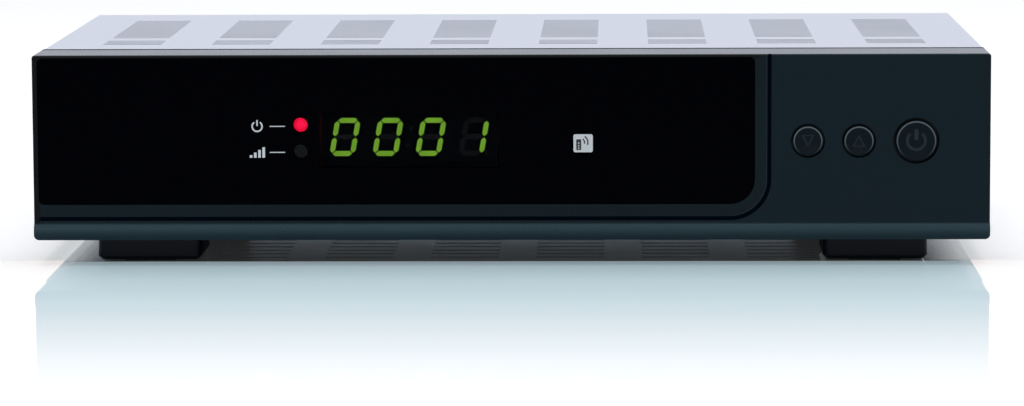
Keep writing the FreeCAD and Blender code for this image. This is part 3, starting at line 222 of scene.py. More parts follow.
def moulded(name, colour, rough=0.35, grain=0.012, cloud=0.1, **fixed):
    uneven = {"flow": 0.08, "texture": 0.1}
    finish = Finish(name, colour, rough, **fixed)
    flow, texture = mouldFlow(finish), mouldTexture(finish)
    finish.set("Base Color", finish.tint(flow, cloud))
    finish.set("Roughness", rough + (flow - 0.5) * uneven["flow"] + (texture - 0.5) * uneven["texture"])
    finish.set("Normal", finish.bump(texture, grain))
    return finish.material


def bezelPlastic(name):
    # the lip along the lower edge is painted lighter than the face, with a painted highlight that grows
    # towards its top
    # the groove round the window is painted dark as painted shade, with a painted highlight along its edge on
    # the right
    tone = {"face": (0.0014, 0.0112, 0.0172), "lipLow": (0.0105, 0.0290, 0.0385),
            "lipHigh": (0.0290, 0.0600, 0.0730), "frame": (0.0012, 0.0092, 0.0130),
            "groove": (0.0006, 0.0026, 0.0056), "edge": (0.0075, 0.0190, 0.0250),
            "rim": (0.0002, 0.0006, 0.0013), "top": (0.010, 0.017, 0.042),
            "rough": 0.26, "flowShade": 0.16, "flowRough": 0.06, "textureRough": 0.08, "grain": 0.008}
    bezel = {"soft": 0.1, "front": (0.3, 0.6), "upward": (0.90, 0.98), "lipTop": (4.05, 4.85),
             "lipShade": (0.6, 4.0), "rimLeft": -128.3, "rimTop": 49.4, "rimDeep": (0.45, 0.5),
             "rimEnd": (66.0, 69.0), "cornerX": 59.5, "cornerZ": 16.5, "cornerRadius": 6.8, "frameWide": 3.6,
             "groove": (3.3, 4.4), "grooveDeep": (1.05, 1.1), "edge": (2.95, 3.3), "edgeRise": (-1.0, 6.0)}
    finish = Finish(name, tone["face"], tone["rough"], IOR=1.22)
    x, y, z = finish.fromFront()
    front = 1 - y.step(*bezel["front"])

    def past(value, edge):      # 1 beyond the edge
        return value.step(edge - bezel["soft"], edge + bezel["soft"])

    # how far out from the window's edge, round its large corner
    right, below = x - bezel["cornerX"], bezel["cornerZ"] - z
    across, down = right.most(0.0), below.most(0.0)
    out = (across * across + down * down).root() + right.most(below).least(0.0) - bezel["cornerRadius"]

    def band(low, high):
        return past(out, low) * (1 - past(out, high))

    colour = finish.mix(front * (1 - past(out, bezel["frameWide"])), solid(tone["face"]),
                        solid(tone["frame"]))
    rim = (1 - past(x, bezel["rimLeft"])).most(past(z, bezel["rimTop"]))
    rim = rim * (1 - x.step(*bezel["rimEnd"])) * (1 - y.step(*bezel["rimDeep"]))
    colour = finish.mix(rim, colour, solid(tone["rim"]))
    # painted highlight on the lip: darker at its foot, lighter towards its top
    lipPaintedLight = finish.mix(z.step(*bezel["lipShade"]), solid(tone["lipLow"]), solid(tone["lipHigh"]))
    colour = finish.mix(front * (1 - z.step(*bezel["lipTop"])), colour, lipPaintedLight)
    # painted highlight: a lighter line along the groove's edge nearer the window, on the right side only
    edge = band(*bezel["edge"]) * front * right.step(*bezel["edgeRise"])
    colour = finish.mix(edge, colour, solid(tone["edge"]))
    # painted reflection: faces that point up, behind the front face, are painted a lighter blue for the light
    # they mirror
    top = finish.upward(*bezel["upward"]) * y.step(*bezel["front"])
    colour = finish.mix(top, colour, solid(tone["top"]))
    flow, texture = mouldFlow(finish), mouldTexture(finish)
    colour = finish.mix(flow * tone["flowShade"], colour, black)
    # painted shade: the band of the groove round the window is painted near black, for the shade inside the
    # groove
    groove = band(*bezel["groove"]) * (1 - y.step(*bezel["grooveDeep"])) * (x > bezel["rimLeft"])
    finish.set("Base Color", finish.mix(groove, colour, solid(tone["groove"])))
    finish.set("Metallic", groove)      # so that the painted shade in the groove mirrors no light
    finish.set("Roughness",
               tone["rough"] + (flow - 0.5) * tone["flowRough"] + (texture - 0.5) * tone["textureRough"])
    finish.set("Normal", finish.bump(texture, tone["grain"]))
    return finish.material


def buttonPlastic(name):
    # caps with a painted highlight along the upper part of their edge, and engraved symbols painted paler as
    # a painted highlight
    caps = {"places": ((80.6, 26.9, 4.15), (94.4, 26.9, 4.15), (109.9, 26.9, 5.55)),      # x, z, radius
            "edge": 0.40, "edgeWide": 0.05, "edgeSoft": 0.2, "sideLight": 0.55, "light": (-0.7, 1.0),
            "inner": (1.0, 0.9), "symbolDepth": (-0.24, -0.16), "symbolEnd": (0.1, 0.2), "top": (-0.3, -0.2),
            "base": (0.0002, 0.0050, 0.0080), "polished": (0.120, 0.160, 0.170),
            "symbol": (0.022, 0.040, 0.046), "rough": 0.2, "textureRough": 0.08, "grain": 0.006}
    finish = Finish(name, caps["base"], caps["rough"], IOR=1.2)
    x, y, z = finish.fromFront()
    rings, insides = [], []
    for capX, capZ, radius in caps["places"]:
        across, height = x - capX, z - capZ
        away = (across * across + height * height).root()
        # painted highlight: a thin lighter ring just inside each cap's edge, strongest on its upper side
        edge = abs(away - (radius - caps["edge"]))
        edge = 1 - edge.step(caps["edgeWide"], caps["edgeWide"] + caps["edgeSoft"])
        light = (height / radius + abs(across) / radius * caps["sideLight"]).step(*caps["light"])
        rings.append(edge * light)
        insides.append(1 - away.step(*[radius - a for a in caps["inner"]]))
    ring, inside = [a.most(b).most(c) for a, b, c in (rings, insides)]
    # painted highlight: the floor of each engraved symbol is painted paler, standing in for light caught on
    # its edges
    symbol = inside * y.step(*caps["symbolDepth"]) * (1 - y.step(*caps["symbolEnd"]))
    colour = finish.mix(ring * (1 - y.step(*caps["top"])), solid(caps["base"]), solid(caps["polished"]))
    finish.set("Base Color", finish.mix(symbol, colour, solid(caps["symbol"])))
    texture = mouldTexture(finish)
    finish.set("Roughness", caps["rough"] + (texture - 0.5) * caps["textureRough"])
    finish.set("Normal", finish.bump(texture, caps["grain"]))
    return finish.material


def canSleeve(name, colour):
    # heat-shrunk sleeve with a pale stripe, bare aluminium where the can faces up
    can = {"upward": (0.80, 0.84), "stripeEvery": 9.0, "stripeWide": 1.8, "stripeShade": 0.55,
           "stripe": (0.55, 0.57, 0.60), "bare": (0.66, 0.67, 0.68), "rough": 0.26, "bareRough": 0.08,
           "cloud": 3, "cloudRough": 0.08}
    finish = Finish(name, colour)
    up = finish.upward(*can["upward"])
    x = finish.along()[0]
    stripe = (x.wrap(can["stripeEvery"]) < can["stripeWide"]) * can["stripeShade"]
    sleeve = finish.mix(stripe, solid(colour), solid(can["stripe"]))
    finish.set("Base Color", finish.mix(up, sleeve, solid(can["bare"])))
    finish.set("Metallic", up)
    cloud = (finish.noise(can["cloud"]) - 0.5) * can["cloudRough"]
    finish.set("Roughness", can["rough"] + up * can["bareRough"] + cloud)
    return finish.material


def wound(name, colour, wire):
    # varnished copper turns under a few layers of tape, with the tape's edges showing
    winding = {"pitch": 0.5, "lapEvery": 5.2, "lapSoft": 0.15, "lapDeep": 0.4, "middle": 27,
               "bareHalf": (4.5, 4.8), "cloud": 4, "cloudShade": 0.1, "rough": 0.3, "metal": 0.8,
               "deep": 0.12}
    finish = Finish(name, colour, winding["rough"])
    x, y, z = finish.along()
    half = winding["pitch"] / 2
    turns = abs(x.wrap(winding["pitch"]) - half) / half
    lap = z.wrap(winding["lapEvery"]).step(0.0, winding["lapSoft"])
    bare = 1 - abs(z - winding["middle"]).step(*winding["bareHalf"])
    tape = finish.mix(lap, finish.tint(finish.noise(winding["cloud"]), winding["cloudShade"]), solid(colour))
    finish.set("Base Color", finish.mix(bare, tape, solid(wire)))
    finish.set("Metallic", bare * winding["metal"])
    finish.set("Normal", finish.bump(turns * bare + lap * winding["lapDeep"], winding["deep"]))
    return finish.material


def painted(name, colour, rough=0.4):
    coat = {"metal": 0.15, "peel": 1.6, "peelDetail": 3, "flake": 0.22, "flakeDetail": 1,
            "flakeEdge": (0.35, 0.65), "flakeShade": 0.05, "flakeRough": 0.12, "peelShare": 0.7,
            "flakeShare": 0.3, "deep": 0.02}
    finish = Finish(name, colour, rough, coat["metal"])
    peel = finish.noise(coat["peel"], coat["peelDetail"])
    flake = finish.noise(coat["flake"], coat["flakeDetail"])
    finish.set("Base Color", finish.tint(flake.step(*coat["flakeEdge"]), coat["flakeShade"]))
    finish.set("Roughness", rough + (flake - 0.5) * coat["flakeRough"])
    finish.set("Normal", finish.bump(peel * coat["peelShare"] + flake * coat["flakeShare"], coat["deep"]))
    return finish.material


def plated(name, colour, rough=0.3, streak=(6, 0.3, 0.3), deep=0.004, cloud=0.12):
    metal = {"drawnDetail": 4, "bloom": 9, "bloomDetail": 3, "bloomShare": 0.6, "drawnShare": 0.4,
             "drawnRough": 0.2, "bloomRough": 0.12}
    finish = Finish(name, colour, rough, 1.0)
    drawn = finish.noise(1, metal["drawnDetail"], streak)
    bloom = finish.noise(metal["bloom"], metal["bloomDetail"])
    finish.set("Base Color", finish.tint(bloom * metal["bloomShare"] + drawn * metal["drawnShare"], cloud))
    finish.set("Roughness", rough + (drawn - 0.5) * metal["drawnRough"] + (bloom - 0.5) * metal["bloomRough"])
    finish.set("Normal", finish.bump(drawn, deep))
    return finish.material


def laminate(name, colour, copper, pitch=1.27):
    # circuit board: tracks under a lacquer, in fields that run one way or the other
    board = {"field": 14, "fieldEdge": (0.48, 0.52), "trackHalf": 0.2, "broken": 5, "brokenEdge": (0.5, 0.54),
             "weave": 0.5, "weaveShade": 0.12, "weaveRough": 0.12, "weaveDeep": 0.2, "rough": 0.3,
             "deep": 0.04}
    finish = Finish(name, colour)
    x, y, z = finish.along()
    field = finish.noise(board["field"], 0).step(*board["fieldEdge"])
    across, along = [abs(a.wrap(pitch) - pitch / 2) < pitch * board["trackHalf"] for a in (x, y)]
    broken = finish.noise(board["broken"], 1).step(*board["brokenEdge"])
    track = (across * field + along * (1 - field)) * broken
    weave = finish.noise(board["weave"], 1)
    finish.set("Base Color", finish.mix(track, finish.tint(weave, board["weaveShade"]), solid(copper)))
    finish.set("Roughness", board["rough"] + weave * board["weaveRough"])
    finish.set("Normal", finish.bump(track + weave * board["weaveDeep"], board["deep"]))
    return finish.material


def windowAcrylic(name):
    # black printing on the back, clear in front of the display, the lamps and the receiver
    clear = {"display": (-52.2, -3.0, 19.6, 34.9), "edge": 0.35, "shade": 0.42, "spotSoft": 0.15,
             "spots": ((-57.05, 31.4, 2.1), (-57.05, 24.2, 2.0), (19.7, 26.35, 3.4)),      # x, z, radius
             "smear": 30, "smearDetail": 4, "smearRough": 0.05, "rough": 0.05, "wave": 45, "deep": 0.05}
    finish = Finish(name, (0.0001, 0.0002, 0.0012), IOR=1.07)
    x, y, z = finish.fromFront()
    left, right, low, top = clear["display"]
    soft = clear["edge"]
    bare = (x.step(left, left + soft) * (1 - x.step(right - soft, right))
            * z.step(low, low + soft) * (1 - z.step(top - soft, top)))
    for spotX, spotZ, radius in clear["spots"]:
        across, height = x - spotX, z - spotZ
        away = (across * across + height * height).root()
        bare = bare.most(1 - away.step(radius - clear["spotSoft"], radius))
    finish.set("Alpha", 1 - bare * (1 - clear["shade"]))
    smear = finish.noise(clear["smear"], clear["smearDetail"])
    finish.set("Roughness", clear["rough"] + smear * clear["smearRough"])
    finish.set("Normal", finish.bump(finish.noise(clear["wave"], 1), clear["deep"]))
    return finish.material


def glowing(name, colour, strength):
    glow = {"unlit": 0.35, "rough": 0.3, "spots": 2.2, "spotShade": 0.22}
    finish = Finish(name, tuple(a * glow["unlit"] for a in colour), glow["rough"], Emission_Strength=strength)
    finish.colour = solid(colour)
    finish.set("Emission Color", finish.tint(finish.noise(glow["spots"], 1), glow["spotShade"]))
    return finish.material


finishes = {
    "bezel_plastic": bezelPlastic("bezelPlastic"),
    "window_acrylic": windowAcrylic("windowAcrylic"),
    "button_plastic": buttonPlastic("buttonPlastic"),
    "plunger_plastic": moulded("plungerPlastic", (0.10, 0.10, 0.11)),
    "switch_plastic": moulded("switchPlastic", (0.04, 0.04, 0.045)),
    "front_board_laminate": laminate("frontBoardLaminate", (0.42, 0.29, 0.12), (0.50, 0.36, 0.17), 2.54),
    "display_plastic": moulded("displayPlastic", (0.0016, 0.0040, 0.0075), 0.5, IOR=1.2),
    "lit_segments": glowing("litSegments", (0.36, 0.80, 0.055), 1.0),
    "lit_red_lens": moulded("redLens", (0.45, 0.02, 0.03), 0.2),
    "green_lens": moulded("greenLens", (0.05, 0.07, 0.055), 0.25),
    "receiver_epoxy": moulded("receiverEpoxy", (0.012, 0.006, 0.012), 0.15),
    "cover_paint": painted("coverPaint", (0.512, 0.540, 0.616)),
    # plated steel, made darker than bare plating: painted shade for the chassis pan's underside, in shadow
    # beneath the case
    "plated_steel": plated("platedSteel", (0.24, 0.28, 0.33), 0.42, (1.5, 1.2, 1.2), 0.001, 0.05),
    "panel_paint": painted("panelPaint", (0.56, 0.58, 0.63), 0.45),
    "foot_plastic": moulded("footPlastic", (0.0008, 0.0028, 0.0060), 0.22, IOR=1.22),
    "pad_rubber": moulded("padRubber", (0.02, 0.02, 0.02), 0.8, 0.05),
    "board_laminate": laminate("boardLaminate", (0.015, 0.13, 0.05), (0.05, 0.25, 0.10)),
    "supply_laminate": laminate("supplyLaminate", (0.42, 0.29, 0.12), (0.50, 0.36, 0.17), 2.54),
    "chip_epoxy": moulded("chipEpoxy", (0.02, 0.02, 0.022), 0.55, 0.02),
    "heatsink_aluminium": plated("heatsinkAluminium", (0.66, 0.67, 0.69), 0.38, (0.3, 6, 0.3), 0.01),
    "crystal_can": plated("crystalCan", (0.68, 0.68, 0.67), 0.25),
    "capacitor_sleeve": canSleeve("capacitorSleeve", (0.010, 0.014, 0.06)),
    "header_nylon": moulded("headerNylon", (0.72, 0.69, 0.58), 0.4),
    "ribbon_vinyl": moulded("ribbonVinyl", (0.30, 0.31, 0.33), 0.45),
    "wire_vinyl": moulded("wireVinyl", (0.40, 0.03, 0.02), 0.35),
    "tin_plate": plated("tinPlate", (0.66, 0.67, 0.68), 0.28),
    "nickel": plated("nickelPlate", (0.70, 0.68, 0.64), 0.2, (1, 1, 1), 0.002),
    "white_nylon": moulded("whiteNylon", (0.80, 0.79, 0.74), 0.4),
    "socket_plastic": moulded("socketPlastic", (0.018, 0.018, 0.02), 0.42, 0.02),
    "yellow_plastic": moulded("yellowPlastic", (0.80, 0.52, 0.02), 0.3),
    "white_plastic": moulded("whitePlastic", (0.80, 0.80, 0.77), 0.3),
    "red_plastic": moulded("redPlastic", (0.55, 0.015, 0.015), 0.3),
    "orange_plastic": moulded("orangePlastic", (0.80, 0.20, 0.01), 0.3),
    "inlet_plastic": moulded("inletPlastic", (0.014, 0.014, 0.015), 0.4, 0.02),
    "fuse_glass": moulded("fuseGlass", (0.70, 0.74, 0.74), 0.08),
    "choke_tape": moulded("chokeTape", (0.62, 0.48, 0.04), 0.35),
    "filter_plastic": moulded("filterPlastic", (0.66, 0.46, 0.05), 0.35),
    "transformer_tape": wound("transformerTape", (0.66, 0.52, 0.06), (0.62, 0.24, 0.08)),
    "insulation_film": moulded("insulationFilm", (0.72, 0.72, 0.66), 0.35),
    "zinc_screw": plated("zincScrew", (0.66, 0.65, 0.60), 0.3),
    "black_screw": moulded("blackScrew", (0.022, 0.022, 0.024), 0.32, 0.004),
}
slotOf = {part["node"]: part["material_slot"] for part in frame["record"]["subparts"]}
for name, slot in slotOf.items():
    nodes[name].material_slots[0].material = finishes[slot]
print("finishes:", len(finishes))


# Making and placing pieces

def settle(name, mesh, slot, smooth=True, replaces=()):
    item = bpy.data.objects.new(name, mesh)
    scene.collection.objects.link(item)
    if smooth:
        mesh.shade_smooth()
        mesh.set_sharp_from_angle(angle=math.radians(creaseAngle))
    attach(item, "case")
    if replaces:
        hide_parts(*replaces)


def meshOf(name, build, material):
    mesh = bpy.data.meshes.new(name)
    build.normal_update()
    build.to_mesh(mesh)
    build.free()
    mesh.materials.append(material)
    return mesh


def prism(build, outline, back, front):
    # a flat outline of (x, z) points, seen from the front, between two depths
    spots = [(x * mm, z * mm + lowEdge) for x, z in outline]
    area = sum(a[0] * b[1] - b[0] * a[1] for a, b in zip(spots, spots[1:] + spots[:1]))
    if area < 0:
        spots.reverse()
    near = [build.verts.new((x, frontFace + front * mm, z)) for x, z in spots]
    far = [build.verts.new((x, frontFace + back * mm, z)) for x, z in spots]
    build.faces.new(near)
    build.faces.new(far[::-1])
    count = len(spots)
    for index in range(count):
        after = (index + 1) % count
        build.faces.new((near[after], near[index], far[index], far[after]))


def circle(x, z, radius, count=40, start=0.0, sweep=360.0):
    steps = count if sweep == 360 else count + 1
    angles = [math.radians(start + sweep * step / count) for step in range(steps)]
    return [(x + radius * math.cos(angle), z + radius * math.sin(angle)) for angle in angles]


def band(x, z, radius, wide, start, sweep, count=40):
    outer = circle(x, z, radius + wide / 2, count, start, sweep)
    inner = circle(x, z, radius - wide / 2, count, start, sweep)
    return outer + inner[::-1]


def box(left, right, low, top):
    return [(left, low), (right, low), (right, top), (left, top)]


def softBox(left, right, low, top, radius, count=6):
    corners = ((right - radius, top - radius, 0), (left + radius, top - radius, 90),
               (left + radius, low + radius, 180), (right - radius, low + radius, 270))
    return [spot for x, z, start in corners for spot in circle(x, z, radius, count, start, 90)]


# Fasteners and threads, made by geometry nodes

class Growth:
    def __init__(self, name, sizes):
        self.tree = bpy.data.node_groups.new(name, "GeometryNodeTree")
        face = self.tree.interface
        face.new_socket("Places", in_out="INPUT", socket_type="NodeSocketGeometry")
        face.new_socket("Result", in_out="OUTPUT", socket_type="NodeSocketGeometry")
        self.sizes = {}
        for label, amount in sizes.items():
            made = face.new_socket(label, in_out="INPUT", socket_type="NodeSocketFloat")
            self.sizes[made.identifier] = amount
        self.start = self.tree.nodes.new("NodeGroupInput")
        self.end = self.tree.nodes.new("NodeGroupOutput")

    def size(self, label):
        return Wire(self.tree, self.start.outputs[label])

    def node(self, kind, settings=None, sockets=None):
        made = self.tree.nodes.new(kind)
        for label, amount in (settings or {}).items():
            setattr(made, label, amount)
        for label, item in (sockets or {}).items():
            for each in item if isinstance(item, list) else [item]:
                plug(self.tree, made.inputs[label], each)
        return Wire(self.tree, made.outputs[0])

    def spot(self, x, y, z):
        return self.node("ShaderNodeCombineXYZ", sockets={0: x, 1: y, 2: z})

    def moved(self, shape, shift=None, scale=None):
        sockets = {"Geometry": shape}
        for label, amount in (("Translation", shift), ("Scale", scale)):
            if amount is not None:
                sockets[label] = amount
        return self.node("GeometryNodeTransform", sockets=sockets)

    def joined(self, *shapes):
        return self.node("GeometryNodeJoinGeometry", sockets={"Geometry": list(shapes)})

    def helix(self, radius, winds, high, count):
        return self.node("GeometryNodeCurveSpiral", sockets={
            "Resolution": count, "Rotations": winds, "Start Radius": radius, "End Radius": radius,
            "Height": high})

    def ridge(self, helix, tooth):
        # a thread of square section, set on its edge
        section = self.node("GeometryNodeCurvePrimitiveCircle", sockets={"Resolution": 4, "Radius": tooth})
        return self.node("GeometryNodeCurveToMesh", sockets={
            "Curve": helix, "Profile Curve": section, "Fill Caps": True})

    def finished(self, shape, turn, material):
        # one shape at each place, turned to point the right way
        spread = self.node("GeometryNodeInstanceOnPoints", sockets={
            "Points": Wire(self.tree, self.start.outputs["Places"]), "Instance": shape, "Rotation": turn})
        real = self.node("GeometryNodeRealizeInstances", sockets={"Geometry": spread})
        last = self.node("GeometryNodeSetMaterial", sockets={"Geometry": real, "Material": material})
        self.tree.links.new(last.socket, self.end.inputs[0])

    def grown(self, name, places):
        # the tree run over a few points, and its result as a plain mesh
        points = bpy.data.meshes.new(name + "Places")
        points.from_pydata(places, [], [])
        carrier = bpy.data.objects.new(name + "Places", points)
        scene.collection.objects.link(carrier)
        modifier = carrier.modifiers.new("growth", "NODES")
        modifier.node_group = self.tree
        for identifier, amount in self.sizes.items():
            modifier[identifier] = amount
        bpy.context.view_layer.update()
        seen = carrier.evaluated_get(bpy.context.evaluated_depsgraph_get())
        mesh = bpy.data.meshes.new_from_object(seen)
        mesh.name = name
        carrier.modifiers.remove(modifier)
        bpy.data.objects.remove(carrier)
        return mesh


def islands(name):
    # lowest and highest corner of each separate body of a node
    copy = bmesh.new()
    copy.from_mesh(nodes[name].data)
    bmesh.ops.remove_doubles(copy, verts=copy.verts, dist=0.002 * mm)
    left, found = set(copy.verts), []
    while left:
        group, edge = set(), [left.pop()]
        while edge:
            spot = edge.pop()
            group.add(spot)
            for link in spot.link_edges:
                other = link.other_vert(spot)
                if other in left:
                    left.remove(other)
                    edge.append(other)
        found.append([Vector([pick(v.co[a] for v in group) for a in range(3)]) for pick in (min, max)])
    copy.free()
    return sorted(found, key=lambda ends: tuple(ends[0]))


quarterTurn = math.pi / 2
facing = {(0, 1, 0): (-quarterTurn, 0, 0), (0, 0, 1): (0, 0, 0),      # turns from +z
          (0, 0, -1): (math.pi, 0, 0)}

screw = {"head": 2.8, "headHigh": 1.7, "shank": 1.4, "core": 1.14, "pitch": 1.06, "slotWide": 0.8,
         "slotLong": 3.2, "slotDeep": 0.95}
screwForm = {"segments": 40, "rings": 20, "sides": 24, "windSteps": 20, "threaded": 0.9, "threadEnd": 0.98,
              "blockWide": 4}


def screwTree(name, long, turn, material):
    sizes = {label: amount * mm for label, amount in screw.items()}
    grow = Growth(name, {**sizes, "long": long * mm})
    size = grow.size
    ball = grow.node("GeometryNodeMeshUVSphere", sockets={
        "Segments": screwForm["segments"], "Rings": screwForm["rings"], "Radius": size("head")})
    crown = grow.moved(ball, scale=grow.spot(1.0, 1.0, size("headHigh") / size("head")))
    wide = size("head") * screwForm["blockWide"]
    block = grow.node("GeometryNodeMeshCube", sockets={"Size": grow.spot(wide, wide, wide)})
    under = grow.moved(block, shift=grow.spot(0.0, 0.0, wide * -0.5))
    arms = []
    for x, y in (("slotLong", "slotWide"), ("slotWide", "slotLong")):
        arm = grow.node("GeometryNodeMeshCube",
                        sockets={"Size": grow.spot(size(x), size(y), size("slotDeep") * 2)})
        arms.append(grow.moved(arm, shift=grow.spot(0.0, 0.0, size("headHigh"))))
    head = grow.node("GeometryNodeMeshBoolean", {"operation": "DIFFERENCE", "solver": "EXACT"},
                     {"Mesh 1": crown, "Mesh 2": [under] + arms})
    rod = grow.node("GeometryNodeMeshCylinder", sockets={
        "Vertices": screwForm["sides"], "Radius": size("core"), "Depth": size("long")})
    rod = grow.moved(rod, shift=grow.spot(0.0, 0.0, size("long") * -0.5))
    threaded = size("long") * screwForm["threaded"]
    helix = grow.helix(size("core"), threaded / size("pitch"), threaded, screwForm["windSteps"])
    thread = grow.ridge(helix, size("shank") - size("core"))
    thread = grow.moved(thread, shift=grow.spot(0.0, 0.0, size("long") * -screwForm["threadEnd"]))
    grow.finished(grow.joined(head, rod, thread), turn, material)
    return grow


def makeScrews(name, outward):
    # outward is the way the heads face; screws of one length grow together
    axis = [abs(a) for a in outward].index(1)
    headHigh = screw["headHigh"]
    material = finishes[slotOf[name]]
    groups = {}
    for low, high in islands(name):
        middle = (low + high) / 2
        middle[axis] = high[axis] - headHigh * mm if outward[axis] > 0 else low[axis] + headHigh * mm
        groups.setdefault(round((high[axis] - low[axis]) / mm - headHigh, 1), []).append(middle)
    whole = bmesh.new()
    for long, places in sorted(groups.items()):
        tree = screwTree(name + str(long).replace(".", "_"), long, facing[outward], material)
        whole.from_mesh(tree.grown(name, places))
    settle(name + "Detail", meshOf(name + "Detail", whole, material), slotOf[name], replaces=(name,))


for name, outward in (("case_screws", (0, 1, 0)), ("front_screws", (0, 1, 0)), ("board_screws", (0, 0, 1)),
                      ("foot_screws", (0, 0, -1))):
    makeScrews(name, outward)
print("screws")


# Aerial sockets: a turned body, with its thread grown along a helix

aerial = {"crest": 4.76, "root": 4.34, "pitch": 0.79, "bore": 3.4, "collar": 6.0, "collarLong": 3.4,
          "bevel": 0.35, "runout": 0.6, "sides": 72, "windSteps": 28}


def turned(build, x, z, profile, count):
    # a closed profile of (radius, y) turned about an axis along y
    rings = []
    for radius, y in profile:
        angles = [2 * math.pi * step / count for step in range(count)]
        rings.append([build.verts.new((x + radius * math.cos(a), y, z + radius * math.sin(a)))
                      for a in angles])
    for ring, after in zip(rings, rings[1:] + rings[:1]):
        for step in range(count):
            other = (step + 1) % count
            build.faces.new((ring[step], ring[other], after[other], after[step]))


def threadTree(long, material):
    grow = Growth("aerialThread",
                  {"root": aerial["root"] * mm, "tooth": (aerial["crest"] - aerial["root"]) * mm,
                                   "pitch": aerial["pitch"] * mm, "long": long})
    size = grow.size
    helix = grow.helix(size("root"), size("long") / size("pitch"), size("long"), aerial["windSteps"])
    grow.finished(grow.ridge(helix, size("tooth")), facing[(0, 1, 0)], material)
    return grow


def makeAerialSockets():
    whole, starts = bmesh.new(), []
    bore, root, collar, bevel, runout = [aerial[a] * mm
                                         for a in ("bore", "root", "collar", "bevel", "runout")]
    for low, high in islands("lnb_connectors"):
        x, z = (low.x + high.x) / 2, (low.z + high.z) / 2
        shoulder = low.y + aerial["collarLong"] * mm
        profile = [(bore, low.y), (collar, low.y), (collar, shoulder - bevel), (collar - bevel, shoulder),
                   (root, shoulder), (root, high.y - bevel), (root - bevel, high.y),
                   (bore + bevel / 2, high.y), (bore, high.y - bevel / 2)]
        turned(whole, x, z, profile, aerial["sides"])
        starts.append((x, shoulder + runout, z))
        long = high.y - shoulder - 2 * runout
    bmesh.ops.recalc_face_normals(whole, faces=whole.faces)
    material = finishes["nickel"]
    whole.from_mesh(threadTree(long, material).grown("aerialThread", starts))
    settle("aerialSockets", meshOf("aerialSockets", whole, material), "nickel", replaces=("lnb_connectors",))


makeAerialSockets()
print("aerial sockets")


# Margins of the rear panel, turned out towards the cover's sides

margins = {"inner": 126.2, "outer": 129.0, "low": 8.0, "high": 56.4, "round": 0.9, "thinner": 0.05}


def makeMargins():
    panelFront, panelBack = [(corner.y - frontFace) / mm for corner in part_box("rear_panel")]
    lowest, highest = [margins[a] - lowEdge / mm for a in ("low", "high")]
    build = bmesh.new()
    for side in (-1, 1):
        left, right = sorted((side * margins["inner"], side * margins["outer"]))
        spots = softBox(left, right, lowest, highest, margins["round"])
        prism(build, spots, panelBack - margins["thinner"], panelFront + margins["thinner"])
    settle("rearPanelMargins", meshOf("rearPanelMargins", build, finishes["panel_paint"]), "panel_paint")


makeMargins()
print("rear panel margins")


# Display

display = {"middle": -27.6, "height": 27.75, "pitch": 11.7, "high": 10.4, "wide": 5.6, "bar": 1.35,
           "gap": 0.2, "lean": 10, "shown": "0001", "back": 4.3, "front": 4.0, "dot": 0.6, "dotSides": 20,
           "dots": ((0, 2.3), (0, -2.3), (21.8, -4.5)), "unlit": (0.012, 0.018, 0.018), "unlitRough": 0.4}
segmentsOf = {"0": "abcdef", "1": "bc"}
lean = math.tan(math.radians(display["lean"]))


def digitBars(middle):
    half = (display["high"] - display["bar"]) / 2
    side, bar, gap = display["wide"] / 2, display["bar"] / 2, display["gap"]

    def level(z):
        reach = side - gap
        return [(-reach, z), (-reach + bar, z + bar), (reach - bar, z + bar), (reach, z),
                (reach - bar, z - bar), (-reach + bar, z - bar)]

    def upright(x, way):
        low, high = sorted((way * gap, way * (half - gap)))
        return [(x, low), (x + bar, low + bar), (x + bar, high - bar), (x, high), (x - bar, high - bar),
                (x - bar, low + bar)]

    bars = {"a": level(half), "g": level(0), "d": level(-half), "b": upright(side, 1), "c": upright(side, -1),
            "e": upright(-side, -1), "f": upright(-side, 1)}
    return {name: [(middle + x + z * lean, display["height"] + z) for x, z in spots]
            for name, spots in bars.items()}


def makeDisplay():
    lit, unlit = bmesh.new(), bmesh.new()
    halfway = (len(display["shown"]) - 1) / 2
    for index, digit in enumerate(display["shown"]):
        bars = digitBars(display["middle"] + (index - halfway) * display["pitch"])
        for name, spots in bars.items():
            prism(lit if name in segmentsOf[digit] else unlit, spots, display["back"], display["front"])
    for x, z in display["dots"]:
        spots = circle(display["middle"] + x + z * lean, display["height"] + z, display["dot"],
                       display["dotSides"])
        prism(unlit, spots, display["back"], display["front"])
    settle("litSegments", meshOf("litSegments", lit, finishes["lit_segments"]), "lit_segments", smooth=False,
           replaces=("display_segments",))
    dark = moulded("unlitSegments", display["unlit"], display["unlitRough"])
    settle("unlitSegments", meshOf("unlitSegments", unlit, dark), "display_plastic", smooth=False)


makeDisplay()
print("display segments")


# Lamps: a small diffuser behind the window in front of each

lamps = {"x": -57.05, "power": 31.4, "signal": 24.2, "radius": 1.95, "front": 2.0, "back": 2.5, "sides": 48,
         "lens": (0.6, 0.01, 0.04), "rough": 0.3, "strength": 1.7, "middle": (1.0, 0.006, 0.070),
         "edge": (0.80, 0.0, 0.030), "fade": (0.5, 2.0)}


def powerGlow():
    glow = Finish("powerGlow", lamps["lens"], lamps["rough"], Emission_Strength=lamps["strength"])
    x, y, z = glow.along(glow.place(middle=(lamps["x"], 0, lowEdge / mm + lamps["power"])))
    fade = (x * x + z * z).root().step(*lamps["fade"])
    glow.set("Emission Color", glow.mix(fade, solid(lamps["middle"]), solid(lamps["edge"])))
    return glow.material


for name, material, slot in (("power", powerGlow(), "lit_red_lens"),
                             ("signal", finishes["green_lens"], "green_lens")):
    build = bmesh.new()
    prism(build, circle(lamps["x"], lamps[name], lamps["radius"], lamps["sides"]), lamps["back"],
          lamps["front"])
    settle(name + "Diffuser", meshOf(name + "Diffuser", build, material), slot)
print("lamp diffusers")


# Marks printed on the window: plain pictograms for power, signal and remote control

